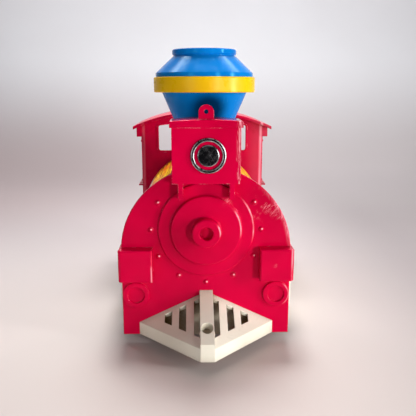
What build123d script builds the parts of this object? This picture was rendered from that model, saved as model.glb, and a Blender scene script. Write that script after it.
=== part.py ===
"""Battery-driven toy steam locomotive in moulded plastic, built piece by piece.

Millimetres. The front faces -Y, +X is on the right for someone looking at the front, +Z is up.
The origin is on the floor, under the middle of the locomotive.
"""

from build123d import *
import math
import os

os.makedirs("parts", exist_ok=True)

SIDES = (("left", -1), ("right", 1))

# Main stations along the locomotive, behind the front face of the smokebox plate
plate_y = -92.0
front_axle_y = plate_y + 56.0
rear_axle_y = plate_y + 150.0
stack_y = plate_y + 52.0
dome_y = plate_y + 106.0
cab_y = plate_y + 147.0
cab_length = 66.0
coupler_pivot_y = plate_y + 212.0

# Heights above the floor
arch_z = 72.2
axle_z = 32.0

# Smokebox plate
plate_radius = 62.0
plate_foot_half = 62.2
plate_foot_z = 7.0
plate_thickness = 3.0
door_z = 88.6
door_radius = 34.8
door_step = 2.0
door_inner_radius = 25.5
door_inner_step = 5.0
door_boss_radius = 10.3
door_boss_reach = 13.0
door_edge_round = 1.2
door_hole_radius = 4.7
door_hole_depth = 5.5
rivet_circle = 40.0
rivet_radius = 2.1
rivet_sunk = 0.6
cylinder_boss_x = 51.8
cylinder_boss_z = 39.0
cylinder_boss_radius = 9.8
cylinder_boss_step = 2.0
cylinder_recess_radius = 6.2
cylinder_edge_round = 0.6

# Boiler and cylinder boxes
boiler_radius = 56.0
wall = 2.5
box_inner_x = 38.9
box_outer_x = 63.5
box_bottom_z = 51.3
box_top_z = 75.5
box_front_y = plate_y - 9.0
box_back_y = plate_y + 26.0
box_wall = 2.0

# Headlamp box
lamp_half = 23.75
lamp_bottom_z = 123.7
lamp_top_z = 162.2
lamp_front_y = plate_y - 10.0
lamp_back_y = plate_y + 23.0
lamp_centre_x = 1.4
lamp_centre_z = 143.3
lamp_wall = 2.2
lip_half = 25.1
lip_edge_z = 166.5
lip_crown_z = 167.8
leg_inner_x = 16.1
leg_outer_x = 19.7
leg_bottom_z = 112.6
tab_half = 5.25
tab_top_z = 177.7
tab_hole_z = 172.9
tab_hole_radius = 1.5
tab_thickness = 2.5

# Smokestack, from the boiler up: radius at each height
stack_neck_radius = 17.0
stack_neck_top_z = 147.8
cone_top_radius = 32.8
cone_top_z = 185.2
band_radius = 39.1
band_top_z = 196.5
spigot_radius = 30.8
upper_rim_radius = 37.5
upper_rim_top_z = 199.5
upper_neck_radius = 23.6
upper_neck_z = 212.4
crown_radius = 24.6
stack_top_z = 216.8

# Cab and roof
cab_half = 59.5
cab_corner = 4.5
belt_z = 95.0
belt_half = 62.7
belt_thickness = 1.2
eave_bottom_z = 142.4
eave_top_z = 152.5
eave_half = 63.6
roof_half = 66.2
roof_radius = 161.0
roof_crown_z = 167.0
roof_thickness = 2.7
roof_overhang = 9.0

# Running board and chassis
board_half = 61.5
board_thickness = 3.7
board_bottom_z = arch_z - board_thickness
tub_half = 48.0
tub_bottom_z = 14.0
tub_front_y = plate_y + plate_thickness
tub_back_y = plate_y + 205.0
front_screws = (30.0, plate_y + 12.0)
rear_screws = (40.0, plate_y + 198.0)
post_radius = 5.0
screw_head_radius = 3.4
screw_head_z = 60.0
screw_shank_radius = 1.5

# Wheels, axles and rods
wheel_radius = 32.0
wheel_half_track = 67.0
wheel_width = 11.0
front_end_play = 0.8
axle_radius = 2.0
running_clearance = 0.05
bush_radius = 4.0
bush_flange_radius = 6.0
crank_radius = 14.0
pin_radius = 2.2
rod_inner_x = 68.4
rod_outer_x = 70.4
pin_collar_x = 68.2
pin_head_inner_x = 70.6
pin_head_outer_x = 71.6
rod_eye_radius = 5.5
crank_angle = {"left": 45.0, "right": -45.0}

# Drive gears
module = 1.0
pressure_angle = 25.0
addendum = 0.8
dedendum = 1.05
tooth_thinning = 0.1
axle_teeth = 32
idler_small_teeth = 12
idler_big_teeth = 30
pinion_teeth = 10
idler_angle = 30.0
motor_angle = 150.0

# Battery compartment
bay_half = 30.0
bay_front_y = plate_y + 73.0
bay_back_y = plate_y + 131.0
bay_wall = 2.0
bay_top_z = 46.0
cell_radius = 13.0
cell_x = 13.6
cell_z = 27.3
door_top_z = 13.8
door_thickness = 1.8


def across(y):
    """Upright plane across the locomotive: local x is X, local y is Z, and it faces the front."""
    return Plane.XZ.offset(-y)


def side_plane(sign, x, y, z):
    """Upright plane along the locomotive that faces outwards on the side given by sign."""
    return Plane(origin=(x, y, z), x_dir=(0, sign, 0), z_dir=(sign, 0, 0))


def finish(part, name):
    """Label a finished piece and write its STEP file."""
    part.label = name
    export_step(part, f"parts/{name}.step")


# ---------------------------------------------------------------- smokebox plate
with BuildPart() as smokebox_front:
    with BuildSketch(across(plate_y)):
        with BuildLine():
            Line((-plate_foot_half, plate_foot_z), (plate_foot_half, plate_foot_z))
            Line((plate_foot_half, plate_foot_z), (plate_radius, arch_z))
            ThreePointArc((plate_radius, arch_z), (0, arch_z + plate_radius), (-plate_radius, arch_z))
            Line((-plate_radius, arch_z), (-plate_foot_half, plate_foot_z))
        make_face()
    extrude(amount=-plate_thickness)
    fillet(smokebox_front.faces().sort_by(Axis.Y)[0].outer_wire().edges(), 0.8)
    # Notches for the cylinder boxes
    with BuildSketch(across(plate_y)):
        for _, sign in SIDES:
            with Locations((sign * (box_inner_x + 15), (box_bottom_z + box_top_z) / 2)):
                Rectangle(30, box_top_z - box_bottom_z)
    extrude(amount=-plate_thickness, mode=Mode.SUBTRACT)
    # Raised door: two discs and a boss with a blind hole
    for radius, reach in (
        (door_radius, door_step),
        (door_inner_radius, door_inner_step),
        (door_boss_radius, door_boss_reach),
    ):
        with BuildSketch(across(plate_y)):
            with Locations((0, door_z)):
                Circle(radius)
        extrude(amount=reach)
    raised = smokebox_front.edges().filter_by(GeomType.CIRCLE).filter_by(
        lambda e: e.radius in (door_radius, door_inner_radius, door_boss_radius)
        and e.center().Y < plate_y - 1
    )
    fillet(raised, door_edge_round)
    with BuildSketch(across(plate_y - door_boss_reach)):
        with Locations((0, door_z)):
            Circle(door_hole_radius)
    extrude(amount=-door_hole_depth, mode=Mode.SUBTRACT)
    hole_edges = smokebox_front.edges().filter_by(GeomType.CIRCLE).filter_by(
        lambda e: abs(e.radius - door_hole_radius) < 0.01
    )
    fillet(hole_edges, 0.8)
    # Round heads moulded on a ring about the door
    rivet_plane = Plane(origin=(0, plate_y + rivet_sunk, door_z), x_dir=(1, 0, 0), z_dir=(0, -1, 0))
    with Locations(rivet_plane):
        with PolarLocations(rivet_circle, 9, start_angle=150, angular_range=240, endpoint=True):
            Sphere(rivet_radius)
    # Cylinder heads
    with BuildSketch(across(plate_y)):
        for _, sign in SIDES:
            with Locations((sign * cylinder_boss_x, cylinder_boss_z)):
                Circle(cylinder_boss_radius)
    extrude(amount=cylinder_boss_step)
    with BuildSketch(across(plate_y - cylinder_boss_step)):
        for _, sign in SIDES:
            with Locations((sign * cylinder_boss_x, cylinder_boss_z)):
                Circle(cylinder_recess_radius)
    extrude(amount=-1.5, mode=Mode.SUBTRACT)
    head_edges = smokebox_front.edges().filter_by(GeomType.CIRCLE).filter_by(
        lambda e: abs(e.center().Z - cylinder_boss_z) < 0.1
        and abs(e.center().Y - plate_y + cylinder_boss_step) < 0.1
    )
    fillet(head_edges, cylinder_edge_round)
    # Rim behind the plate that locates it inside the boiler
    with BuildSketch(across(plate_y + plate_thickness)):
        with Locations((0, arch_z)):
            Circle(boiler_radius - wall - 0.1)
            Circle(boiler_radius - wall - 2.1, mode=Mode.SUBTRACT)
        with Locations((0, arch_z - plate_radius + 8)):
            Rectangle(2 * plate_radius, 2 * plate_radius, mode=Mode.SUBTRACT)
    extrude(amount=-6)
finish(smokebox_front.part, "smokebox_front")

# ---------------------------------------------------------------- cylinder boxes
box_half_x = (box_outer_x - box_inner_x) / 2
box_half_z = (box_top_z - box_bottom_z) / 2
for side, sign in SIDES:
    centre_x = sign * (box_inner_x + box_outer_x) / 2
    centre_z = (box_bottom_z + box_top_z) / 2
    with BuildPart() as cylinder_box:
        with BuildSketch(across(box_back_y)):
            with Locations((centre_x, centre_z)):
                Rectangle(2 * box_half_x, 2 * box_half_z)
        extrude(amount=box_back_y - box_front_y)
        front = cylinder_box.faces().sort_by(Axis.Y)[0]
        outer_edge = front.edges().sort_by(Axis((0, 0, 0), (sign, 0, 0)))[-1]
        fillet(outer_edge, 2.4)
        rest = cylinder_box.faces().sort_by(Axis.Y)[0].edges()
        fillet(rest, 1.2)
        with BuildSketch(across(box_back_y)):
            with Locations((centre_x, centre_z)):
                Rectangle(2 * (box_half_x - box_wall), 2 * (box_half_z - box_wall))
        extrude(amount=box_back_y - box_front_y - 2 * box_wall, mode=Mode.SUBTRACT)
    finish(cylinder_box.part, f"cylinder_box_{side}")

# ---------------------------------------------------------------- boiler
boiler_front_y = plate_y + plate_thickness
with BuildPart() as boiler_shell:
    with BuildSketch(across(boiler_front_y)):
        with Locations((0, arch_z)):
            Circle(boiler_radius)
            Circle(boiler_radius - wall, mode=Mode.SUBTRACT)
        with Locations((0, arch_z - boiler_radius)):
            Rectangle(2 * boiler_radius, 2 * boiler_radius, mode=Mode.SUBTRACT)
    extrude(amount=-(cab_y - boiler_front_y))
    # Holes for the stack's and the dome's spigots
    for hole_y, hole_radius in ((stack_y, 13.0), (dome_y, 9.0)):
        with BuildSketch(Plane.XY.offset(arch_z + 20)):
            with Locations((0, hole_y)):
                Circle(hole_radius)
        extrude(amount=boiler_radius, mode=Mode.SUBTRACT)
    # Room for the tops of the cylinder boxes
    with BuildSketch(Plane.XY.offset(arch_z)):
        for _, sign in SIDES:
            with Locations((sign * (box_inner_x + 15), (boiler_front_y + box_back_y) / 2)):
                Rectangle(30, box_back_y - boiler_front_y)
    extrude(amount=box_top_z - arch_z, mode=Mode.SUBTRACT)
finish(boiler_shell.part, "boiler_shell")

# Printed labels along both upper flanks of the boiler
label_start_angle = 29.0
label_end_angle = 74.0
label_front_y = plate_y + 47.0
label_back_y = cab_y - 3.0
label_thickness = 0.25
for side, sign in SIDES:
    with BuildPart() as boiler_label:
        with BuildSketch(across(label_front_y)):
            with BuildLine():
                start = 90 - sign * label_start_angle
                sweep = -sign * (label_end_angle - label_start_angle)
                inner = CenterArc((0, arch_z), boiler_radius, start, sweep)
                outer = CenterArc((0, arch_z), boiler_radius + label_thickness, start, sweep)
                Line(inner @ 0, outer @ 0)
                Line(inner @ 1, outer @ 1)
            make_face()
        extrude(amount=-(label_back_y - label_front_y))
    finish(boiler_label.part, f"boiler_label_{side}")

# ---------------------------------------------------------------- headlamp
lip_front_y = lamp_front_y - 1.0
lip_back_y = lamp_back_y + 1.0
with BuildPart() as headlamp_box:
    with BuildSketch(across(lamp_back_y)):
        with Locations((0, (lamp_bottom_z + lamp_top_z) / 2)):
            Rectangle(2 * lamp_half, lamp_top_z - lamp_bottom_z)
    extrude(amount=lamp_back_y - lamp_front_y)
    # Hollow, open below
    with BuildSketch(across(lamp_back_y - lamp_wall)):
        with Locations((0, (lamp_bottom_z + lamp_top_z) / 2)):
            Rectangle(2 * (lamp_half - lamp_wall), lamp_top_z - lamp_bottom_z)
    extrude(amount=lamp_back_y - lamp_front_y - 2 * lamp_wall, mode=Mode.SUBTRACT)
    # Front legs that reach down the plate
    with BuildSketch(across(plate_y)):
        for _, sign in SIDES:
            with Locations((sign * (leg_inner_x + leg_outer_x) / 2, (leg_bottom_z + lamp_bottom_z + 2) / 2)):
                Rectangle(leg_outer_x - leg_inner_x, lamp_bottom_z + 2 - leg_bottom_z)
    extrude(amount=plate_y - lamp_front_y)
    # Lid with a slightly arched top
    with BuildSketch(across(lip_back_y)):
        with BuildLine():
            Line((-lip_half, lamp_top_z), (lip_half, lamp_top_z))
            Line((lip_half, lamp_top_z), (lip_half, lip_edge_z))
            ThreePointArc((lip_half, lip_edge_z), (0, lip_crown_z), (-lip_half, lip_edge_z))
            Line((-lip_half, lip_edge_z), (-lip_half, lamp_top_z))
        make_face()
    extrude(amount=lip_back_y - lip_front_y)
    fillet(headlamp_box.faces().sort_by(Axis.Z)[-1].edges(), 0.8)
    # Standing tab with a hole
    tab_y = lip_front_y + 3.0
    with BuildSketch(across(tab_y)):
        with Locations((0, (lip_edge_z - 1 + tab_top_z - tab_half) / 2)):
            Rectangle(2 * tab_half, tab_top_z - tab_half - lip_edge_z + 1)
        with Locations((0, tab_top_z - tab_half)):
            Circle(tab_half)
        with Locations((0, tab_hole_z)):
            Circle(tab_hole_radius, mode=Mode.SUBTRACT)
    extrude(amount=-tab_thickness)
    # Saddle: the box is cut to sit over the door disc, the plate and the boiler
    for from_y, to_y, cut_z, cut_radius in (
        (plate_y - door_step, plate_y, door_z, door_radius),
        (plate_y, plate_y + plate_thickness, arch_z, plate_radius),
        (plate_y + plate_thickness, lamp_back_y, arch_z, boiler_radius),
    ):
        with BuildSketch(across(from_y)):
            with Locations((0, cut_z)):
                Circle(cut_radius)
        extrude(amount=from_y - to_y, mode=Mode.SUBTRACT)
finish(headlamp_box.part, "headlamp_box")

ring_outer = 12.3
ring_inner = 9.7
ring_height = 1.6
with BuildPart() as headlamp_ring:
    with BuildSketch(across(lamp_front_y)):
        with Locations((lamp_centre_x, lamp_centre_z)):
            Circle(ring_outer)
            Circle(ring_inner, mode=Mode.SUBTRACT)
    extrude(amount=ring_height)
    fillet(headlamp_ring.faces().sort_by(Axis.Y)[0].edges(), 0.8)
finish(headlamp_ring.part, "headlamp_ring")

mirror_radius = 7.6
with BuildPart() as headlamp_mirror:
    with BuildSketch(across(lamp_front_y)):
        with Locations((lamp_centre_x, lamp_centre_z)):
            Circle(mirror_radius)
    extrude(amount=1.4)
    fillet(headlamp_mirror.faces().sort_by(Axis.Y)[0].edges(), 0.7)
finish(headlamp_mirror.part, "headlamp_mirror")

# ---------------------------------------------------------------- smokestack
stack_plane = Plane(origin=(0, stack_y, 0), x_dir=(1, 0, 0), z_dir=(0, -1, 0))
stack_axis = Axis((0, stack_y, 0), (0, 0, 1))
stack_foot_z = arch_z + boiler_radius - 8.0
with BuildPart() as stack_lower:
    with BuildSketch(stack_plane):
        with BuildLine():
            Polyline(
                (0, stack_foot_z),
                (stack_neck_radius + 7, stack_foot_z),
                (stack_neck_radius + 7, stack_foot_z + 10),
                (stack_neck_radius, stack_foot_z + 15),
                (stack_neck_radius, stack_neck_top_z),
                (cone_top_radius, cone_top_z),
                (spigot_radius, cone_top_z),
                (spigot_radius, upper_rim_top_z - 2),
                (spigot_radius - 2, upper_rim_top_z - 2),
                (spigot_radius - 2, cone_top_z - 3),
                (stack_neck_radius - 3, stack_neck_top_z + 1),
                (stack_neck_radius - 3, stack_foot_z + 12),
                (0, stack_foot_z + 12),
                close=True,
            )
        make_face()
    revolve(axis=stack_axis)
    # The foot is saddle-shaped over the boiler, with a spigot through its hole
    with BuildSketch(across(stack_y - cone_top_radius)):
        with Locations((0, arch_z)):
            Circle(boiler_radius)
    extrude(amount=-2 * cone_top_radius, mode=Mode.SUBTRACT)
    with BuildSketch(Plane.XY.offset(arch_z + boiler_radius - 6)):
        with Locations((0, stack_y)):
            Circle(12.9)
    extrude(amount=6 + 1)
finish(stack_lower.part, "stack_lower")

with BuildPart() as stack_band:
    with BuildSketch(Plane.XY.offset(cone_top_z)):
        with Locations((0, stack_y)):
            Circle(band_radius)
            Circle(spigot_radius, mode=Mode.SUBTRACT)
    extrude(amount=band_top_z - cone_top_z)
    fillet(
        stack_band.edges().filter_by(GeomType.CIRCLE).filter_by(lambda e: e.radius > spigot_radius + 1), 0.9
    )
finish(stack_band.part, "stack_band")

with BuildPart() as stack_upper:
    with BuildSketch(stack_plane):
        with BuildLine():
            Polyline(
                (spigot_radius, band_top_z),
                (upper_rim_radius, band_top_z),
                (upper_rim_radius, upper_rim_top_z),
                (upper_neck_radius, upper_neck_z),
                (crown_radius, upper_neck_z + 1.2),
                (crown_radius, stack_top_z - 0.6),
                (crown_radius - 0.6, stack_top_z),
                (crown_radius - 2.6, stack_top_z),
                (crown_radius - 2.6, stack_top_z - 6),
                (0, stack_top_z - 6),
                (0, stack_top_z - 8),
                (upper_neck_radius - 4, stack_top_z - 8),
                (spigot_radius, upper_rim_top_z),
                close=True,
            )
        make_face()
    revolve(axis=stack_axis)
finish(stack_upper.part, "stack_upper")

# ---------------------------------------------------------------- steam dome
dome_radius = 15.0
dome_cap_height = 9.0
dome_top_z = arch_z + boiler_radius + 20.0
dome_foot_z = arch_z + boiler_radius - 6.0
dome_axis = Axis((0, dome_y, 0), (0, 0, 1))
# The cap is part of a sphere centred on the dome's axis
cap_radius = (dome_radius**2 + dome_cap_height**2) / (2 * dome_cap_height)
cap_half_angle = math.asin(dome_radius / cap_radius) / 2
with BuildPart() as steam_dome:
    with BuildSketch(Plane(origin=(0, dome_y, 0), x_dir=(1, 0, 0), z_dir=(0, -1, 0))):
        with BuildLine():
            shoulder_z = dome_top_z - dome_cap_height
            cap_centre_z = dome_top_z - cap_radius
            Polyline(
                (0, dome_foot_z),
                (dome_radius + 5, dome_foot_z),
                (dome_radius + 5, dome_foot_z + 7),
                (dome_radius, dome_foot_z + 10),
                (dome_radius, shoulder_z),
            )
            ThreePointArc(
                (dome_radius, shoulder_z),
                (cap_radius * math.sin(cap_half_angle), cap_centre_z + cap_radius * math.cos(cap_half_angle)),
                (0, dome_top_z),
            )
            Line((0, dome_top_z), (0, dome_foot_z))
        make_face()
    revolve(axis=dome_axis)
    with BuildSketch(across(dome_y - 2 * dome_radius)):
        with Locations((0, arch_z)):
            Circle(boiler_radius)
    extrude(amount=-4 * dome_radius, mode=Mode.SUBTRACT)
    with BuildSketch(Plane.XY.offset(dome_foot_z)):
        with Locations((0, dome_y)):
            Circle(8.9)
    extrude(amount=7)
finish(steam_dome.part, "steam_dome")

# ---------------------------------------------------------------- cab
roof_centre_z = roof_crown_z - roof_radius
roof_inner_radius = roof_radius - roof_thickness
window_outer_x = 42.2
window_inner_x = 9.0
window_bottom_z = 129.0
window_edge_z = 153.0
window_border = 1.7
border_height = 0.8
side_window_length = 34.0
side_window_height = 34.0
cab_back_y = cab_y + cab_length
with BuildPart() as cab_shell:
    # Walls from the deck to the underside of the roof
    with BuildSketch(across(cab_y)):
        with Locations((0, arch_z + 50)):
            Rectangle(2 * cab_half, 100)
        with Locations((0, roof_centre_z)):
            Circle(roof_inner_radius, mode=Mode.INTERSECT)
    extrude(amount=-cab_length)
    fillet(cab_shell.edges().filter_by(Axis.Z).group_by(Axis.Y)[0], cab_corner)
    # Belt ledge along the front and both sides
    with BuildSketch(Plane.XY.offset(belt_z - belt_thickness / 2)):
        with Locations((0, cab_y + cab_length / 2)):
            Rectangle(2 * belt_half, cab_length)
    extrude(amount=belt_thickness)
    # Eave bands under the roof on both sides
    with BuildSketch(across(cab_y)):
        with Locations((0, (eave_bottom_z + eave_top_z) / 2)):
            Rectangle(2 * eave_half, eave_top_z - eave_bottom_z)
        with Locations((0, roof_centre_z)):
            Circle(roof_inner_radius, mode=Mode.INTERSECT)
    extrude(amount=-cab_length)
    # Inside, open at the back
    with BuildSketch(across(cab_y + wall)):
        with Locations((0, arch_z + 50)):
            Rectangle(2 * (cab_half - wall), 100)
    extrude(amount=-cab_length, mode=Mode.SUBTRACT)
    # Front windows with raised borders, their tops along the roof
    for grow, mode, depth in ((window_border, Mode.ADD, border_height), (0.0, Mode.SUBTRACT, -wall)):
        start_y = cab_y if mode is Mode.ADD else cab_y - border_height
        reach = depth if mode is Mode.ADD else depth - border_height
        with BuildSketch(across(start_y)) as glazing:
            for _, sign in SIDES:
                with BuildLine():
                    low = window_bottom_z - grow
                    inner_x = sign * (window_inner_x - grow)
                    outer_x = sign * (window_outer_x + grow)
                    top_rise = 4.0
                    Line((inner_x, low), (outer_x, low))
                    Line((outer_x, low), (outer_x, window_edge_z + grow))
                    Line((outer_x, window_edge_z + grow), (inner_x, window_edge_z + top_rise + grow))
                    Line((inner_x, window_edge_z + top_rise + grow), (inner_x, low))
                make_face()
            fillet(glazing.vertices(), 2.0 + grow)
        extrude(amount=reach, mode=mode)
    # Side windows
    for _, sign in SIDES:
        with BuildSketch(side_plane(sign, sign * (cab_half + 1), cab_y + cab_length / 2, 118)) as opening:
            Rectangle(side_window_length, side_window_height)
            fillet(opening.vertices(), 3)
        extrude(amount=-(wall + 2), mode=Mode.SUBTRACT)
finish(cab_shell.part, "cab_shell")

with BuildPart() as cab_roof:
    with BuildSketch(across(cab_y - roof_overhang)):
        with Locations((0, roof_centre_z)):
            Circle(roof_radius)
            Circle(roof_inner_radius, mode=Mode.SUBTRACT)
        with Locations((0, roof_crown_z)):
            Rectangle(2 * roof_half, 60, mode=Mode.INTERSECT)
    extrude(amount=-(cab_length + 2 * roof_overhang))
    fillet(cab_roof.faces().sort_by(Axis.Y)[0].edges(), 0.6)
    # Ribs under the roof that locate it inside the cab walls
    with BuildSketch(across(cab_y + wall + 0.2)):
        with Locations((0, roof_centre_z)):
            Circle(roof_inner_radius + 0.5)
            Circle(roof_inner_radius - 2, mode=Mode.SUBTRACT)
        with Locations((0, roof_crown_z)):
            Rectangle(2 * (cab_half - wall - 0.2), 60, mode=Mode.INTERSECT)
        with Locations((0, roof_crown_z)):
            Rectangle(2 * (cab_half - wall - 2.2), 60, mode=Mode.SUBTRACT)
    extrude(amount=-(cab_length - 2 * wall))
finish(cab_roof.part, "cab_roof")

# ---------------------------------------------------------------- running board
switch_y = plate_y + 196.0
switch_travel = 6.0
switch_slot = 15.0
screw_places = [(sign * x, y) for x, y in (front_screws, rear_screws) for sign in (-1, 1)]
with BuildPart() as running_board:
    with BuildSketch(Plane.XY.offset(board_bottom_z)):
        with Locations((0, (tub_front_y + cab_back_y) / 2)):
            Rectangle(2 * board_half, cab_back_y - tub_front_y)
        for _, sign in SIDES:
            with Locations((sign * (box_inner_x + 15), (boiler_front_y + box_back_y) / 2)):
                Rectangle(30, box_back_y - boiler_front_y, mode=Mode.SUBTRACT)
        with Locations((0, switch_y)):
            Rectangle(switch_slot, 4.2, mode=Mode.SUBTRACT)
    extrude(amount=board_thickness)
    # Blind bosses for the four long screws
    with Locations([(x, y, arch_z + 3) for x, y in screw_places]):
        Cylinder(4.0, 6)
    with Locations([(x, y, board_bottom_z + board_thickness) for x, y in screw_places]):
        Cylinder(screw_shank_radius, board_thickness * 2, mode=Mode.SUBTRACT)
finish(running_board.part, "running_board")

# ---------------------------------------------------------------- chassis
idler_distance = module * (axle_teeth + idler_small_teeth) / 2
motor_distance = module * (idler_big_teeth + pinion_teeth) / 2
idler_y = rear_axle_y + idler_distance * math.cos(math.radians(idler_angle))
idler_z = axle_z + idler_distance * math.sin(math.radians(idler_angle))
motor_y = idler_y + motor_distance * math.cos(math.radians(motor_angle))
motor_z = idler_z + motor_distance * math.sin(math.radians(motor_angle))
rail_bottom_z = 10.4
tongue_bottom_z = 24.0
tongue_thickness = 3.0
tongue_half = 7.0
tub_mid_y = (tub_front_y + tub_back_y) / 2
with BuildPart() as chassis_frame:
    with BuildSketch(Plane.XY.offset(tub_bottom_z)):
        with Locations((0, tub_mid_y)):
            Rectangle(2 * tub_half, tub_back_y - tub_front_y)
    extrude(amount=board_bottom_z - tub_bottom_z)
    with BuildSketch(Plane.XY.offset(tub_bottom_z + wall)):
        with Locations((0, tub_mid_y)):
            Rectangle(2 * (tub_half - wall), tub_back_y - tub_front_y - 2 * wall)
    extrude(amount=board_bottom_z - tub_bottom_z - wall, mode=Mode.SUBTRACT)
    # Cut-outs for the cylinder boxes in the front corners
    with BuildSketch(Plane.XY.offset(box_bottom_z)):
        for _, sign in SIDES:
            with Locations((sign * (box_inner_x + 15), (tub_front_y + box_back_y) / 2)):
                Rectangle(30, box_back_y - tub_front_y)
    extrude(amount=board_bottom_z - box_bottom_z, mode=Mode.SUBTRACT)
    # Battery bay walls and the opening under the cells
    with BuildSketch(Plane.XY.offset(tub_bottom_z + wall)):
        with Locations((0, (bay_front_y + bay_back_y) / 2)):
            Rectangle(2 * bay_half, bay_back_y - bay_front_y)
            Rectangle(2 * (bay_half - bay_wall), bay_back_y - bay_front_y - 2 * bay_wall, mode=Mode.SUBTRACT)
    extrude(amount=bay_top_z - tub_bottom_z - wall)
    with BuildSketch(Plane.XY.offset(tub_bottom_z)):
        with Locations((0, (bay_front_y + bay_back_y) / 2)):
            Rectangle(2 * (bay_half - bay_wall), bay_back_y - bay_front_y - 2 * bay_wall)
    extrude(amount=wall, mode=Mode.SUBTRACT)
    # Rails that carry the sliding battery door
    door_length = bay_back_y - bay_front_y + 1.0
    rail_length = bay_back_y - bay_front_y + 4.0
    with BuildSketch(across((bay_front_y + bay_back_y - rail_length) / 2)):
        for _, sign in SIDES:
            with BuildLine():
                Polyline(
                    (sign * (bay_half + 0.3), tub_bottom_z),
                    (sign * (bay_half + 3), tub_bottom_z),
                    (sign * (bay_half + 3), rail_bottom_z),
                    (sign * (bay_half - 2), rail_bottom_z),
                    (sign * (bay_half - 2), door_top_z - door_thickness - 0.3),
                    (sign * (bay_half + 0.3), door_top_z - door_thickness - 0.3),
                    close=True,
                )
            make_face()
    extrude(amount=-rail_length)
    # Screw posts with deep counterbores
    with Locations([(x, y, (tub_bottom_z + board_bottom_z) / 2) for x, y in screw_places]):
        Cylinder(post_radius, board_bottom_z - tub_bottom_z)
    with Locations([(x, y, (tub_bottom_z + screw_head_z) / 2) for x, y in screw_places]):
        Cylinder(screw_head_radius + 0.2, screw_head_z - tub_bottom_z, mode=Mode.SUBTRACT)
    with Locations([(x, y, (screw_head_z + board_bottom_z) / 2) for x, y in screw_places]):
        Cylinder(screw_shank_radius + 0.2, board_bottom_z - screw_head_z, mode=Mode.SUBTRACT)
    # Holes for the axle bushes
    for bush_y in (front_axle_y, rear_axle_y):
        with BuildSketch(side_plane(1, -tub_half, bush_y, axle_z)):
            Circle(bush_radius)
        extrude(amount=2 * tub_half, mode=Mode.SUBTRACT)
    # Room for the rim of the axle gear in the floor
    with BuildSketch(side_plane(1, -24.2, rear_axle_y, axle_z)):
        Circle(module * axle_teeth / 2 + 1.3)
    extrude(amount=6.4, mode=Mode.SUBTRACT)
    # Coupler tongue behind the rear wall
    with BuildSketch(Plane.XY.offset(tongue_bottom_z)):
        with Locations((0, (tub_back_y + coupler_pivot_y) / 2)):
            Rectangle(2 * tongue_half, coupler_pivot_y - tub_back_y)
        with Locations((0, coupler_pivot_y)):
            Circle(tongue_half)
            Circle(pin_radius, mode=Mode.SUBTRACT)
    extrude(amount=tongue_thickness)
finish(chassis_frame.part, "chassis_frame")

with BuildPart() as chassis_screws:
    with Locations([(x, y, screw_head_z - 1.2) for x, y in screw_places]):
        Cylinder(screw_head_radius, 2.4)
    with Locations([(x, y, (screw_head_z + arch_z) / 2) for x, y in screw_places]):
        Cylinder(screw_shank_radius, arch_z - screw_head_z)
finish(chassis_screws.part, "chassis_screws")

with BuildPart() as axle_bushes:
    for bush_y in (front_axle_y, rear_axle_y):
        for _, sign in SIDES:
            with BuildSketch(side_plane(sign, sign * (tub_half - wall), bush_y, axle_z)):
                Circle(bush_radius)
            extrude(amount=wall)
            with BuildSketch(side_plane(sign, sign * tub_half, bush_y, axle_z)):
                Circle(bush_flange_radius)
            extrude(amount=1.0)
            with BuildSketch(side_plane(sign, sign * (tub_half - wall), bush_y, axle_z)):
                Circle(axle_radius + running_clearance)
            extrude(amount=wall + 1.0, mode=Mode.SUBTRACT)
finish(axle_bushes.part, "axle_bushes")

# ---------------------------------------------------------------- pilot
pilot_half = 50.0
pilot_reach = 44.0
pilot_bottom_z = 7.5
pilot_skirt_z = 17.0
pilot_ridge_z = 41.0
pilot_wall = 2.5
rib_half = 4.85
rib_rise = 1.0
slot_spans = ((rib_half, 9.1), (14.8, 20.0), (25.2, 30.7))
slot_from_plate = 3.6
slot_from_skirt = 8.5
recess_y = plate_y - 31.5
recess_radius = 4.25
recess_floor_z = 20.0
recess_floor_thickness = 3.0
peg_hole_radius = 1.5
# Fall of the facets per millimetre sideways and forwards
side_fall = (pilot_ridge_z - pilot_skirt_z) / pilot_half
front_fall = (pilot_ridge_z - pilot_skirt_z - side_fall * rib_half) / pilot_reach


def pilot_plan(inset):
    """Plan outline of the pilot, drawn inwards from its true edge by the inset."""
    edge = math.hypot(pilot_reach, pilot_half - rib_half)
    side_shift = inset * edge / pilot_reach
    front_y = plate_y - pilot_reach + inset
    back_y = plate_y - inset
    slope = (pilot_half - rib_half) / pilot_reach
    front_half = pilot_half - side_shift - slope * (plate_y - front_y)
    back_half = pilot_half - side_shift - slope * inset
    return ((-back_half, back_y), (-front_half, front_y), (front_half, front_y), (back_half, back_y))


def facet_plane(sign, drop):
    """Plane of one sloping facet, lowered by the drop; its normal points up and out."""
    return Plane(
        origin=(0, plate_y, pilot_ridge_z - drop),
        z_dir=(sign * side_fall, -front_fall, 1),
    )


def pilot_blank(inset, drop, bottom_z):
    """Closed pyramid under the two facets."""
    with BuildPart() as blank:
        with BuildSketch(Plane.XY.offset(bottom_z)):
            with BuildLine():
                Polyline(*pilot_plan(inset), close=True)
            make_face()
        extrude(amount=pilot_ridge_z - bottom_z + 5)
        for _, sign in SIDES:
            split(bisect_by=facet_plane(sign, drop), keep=Keep.BOTTOM)
    return blank.part


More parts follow.
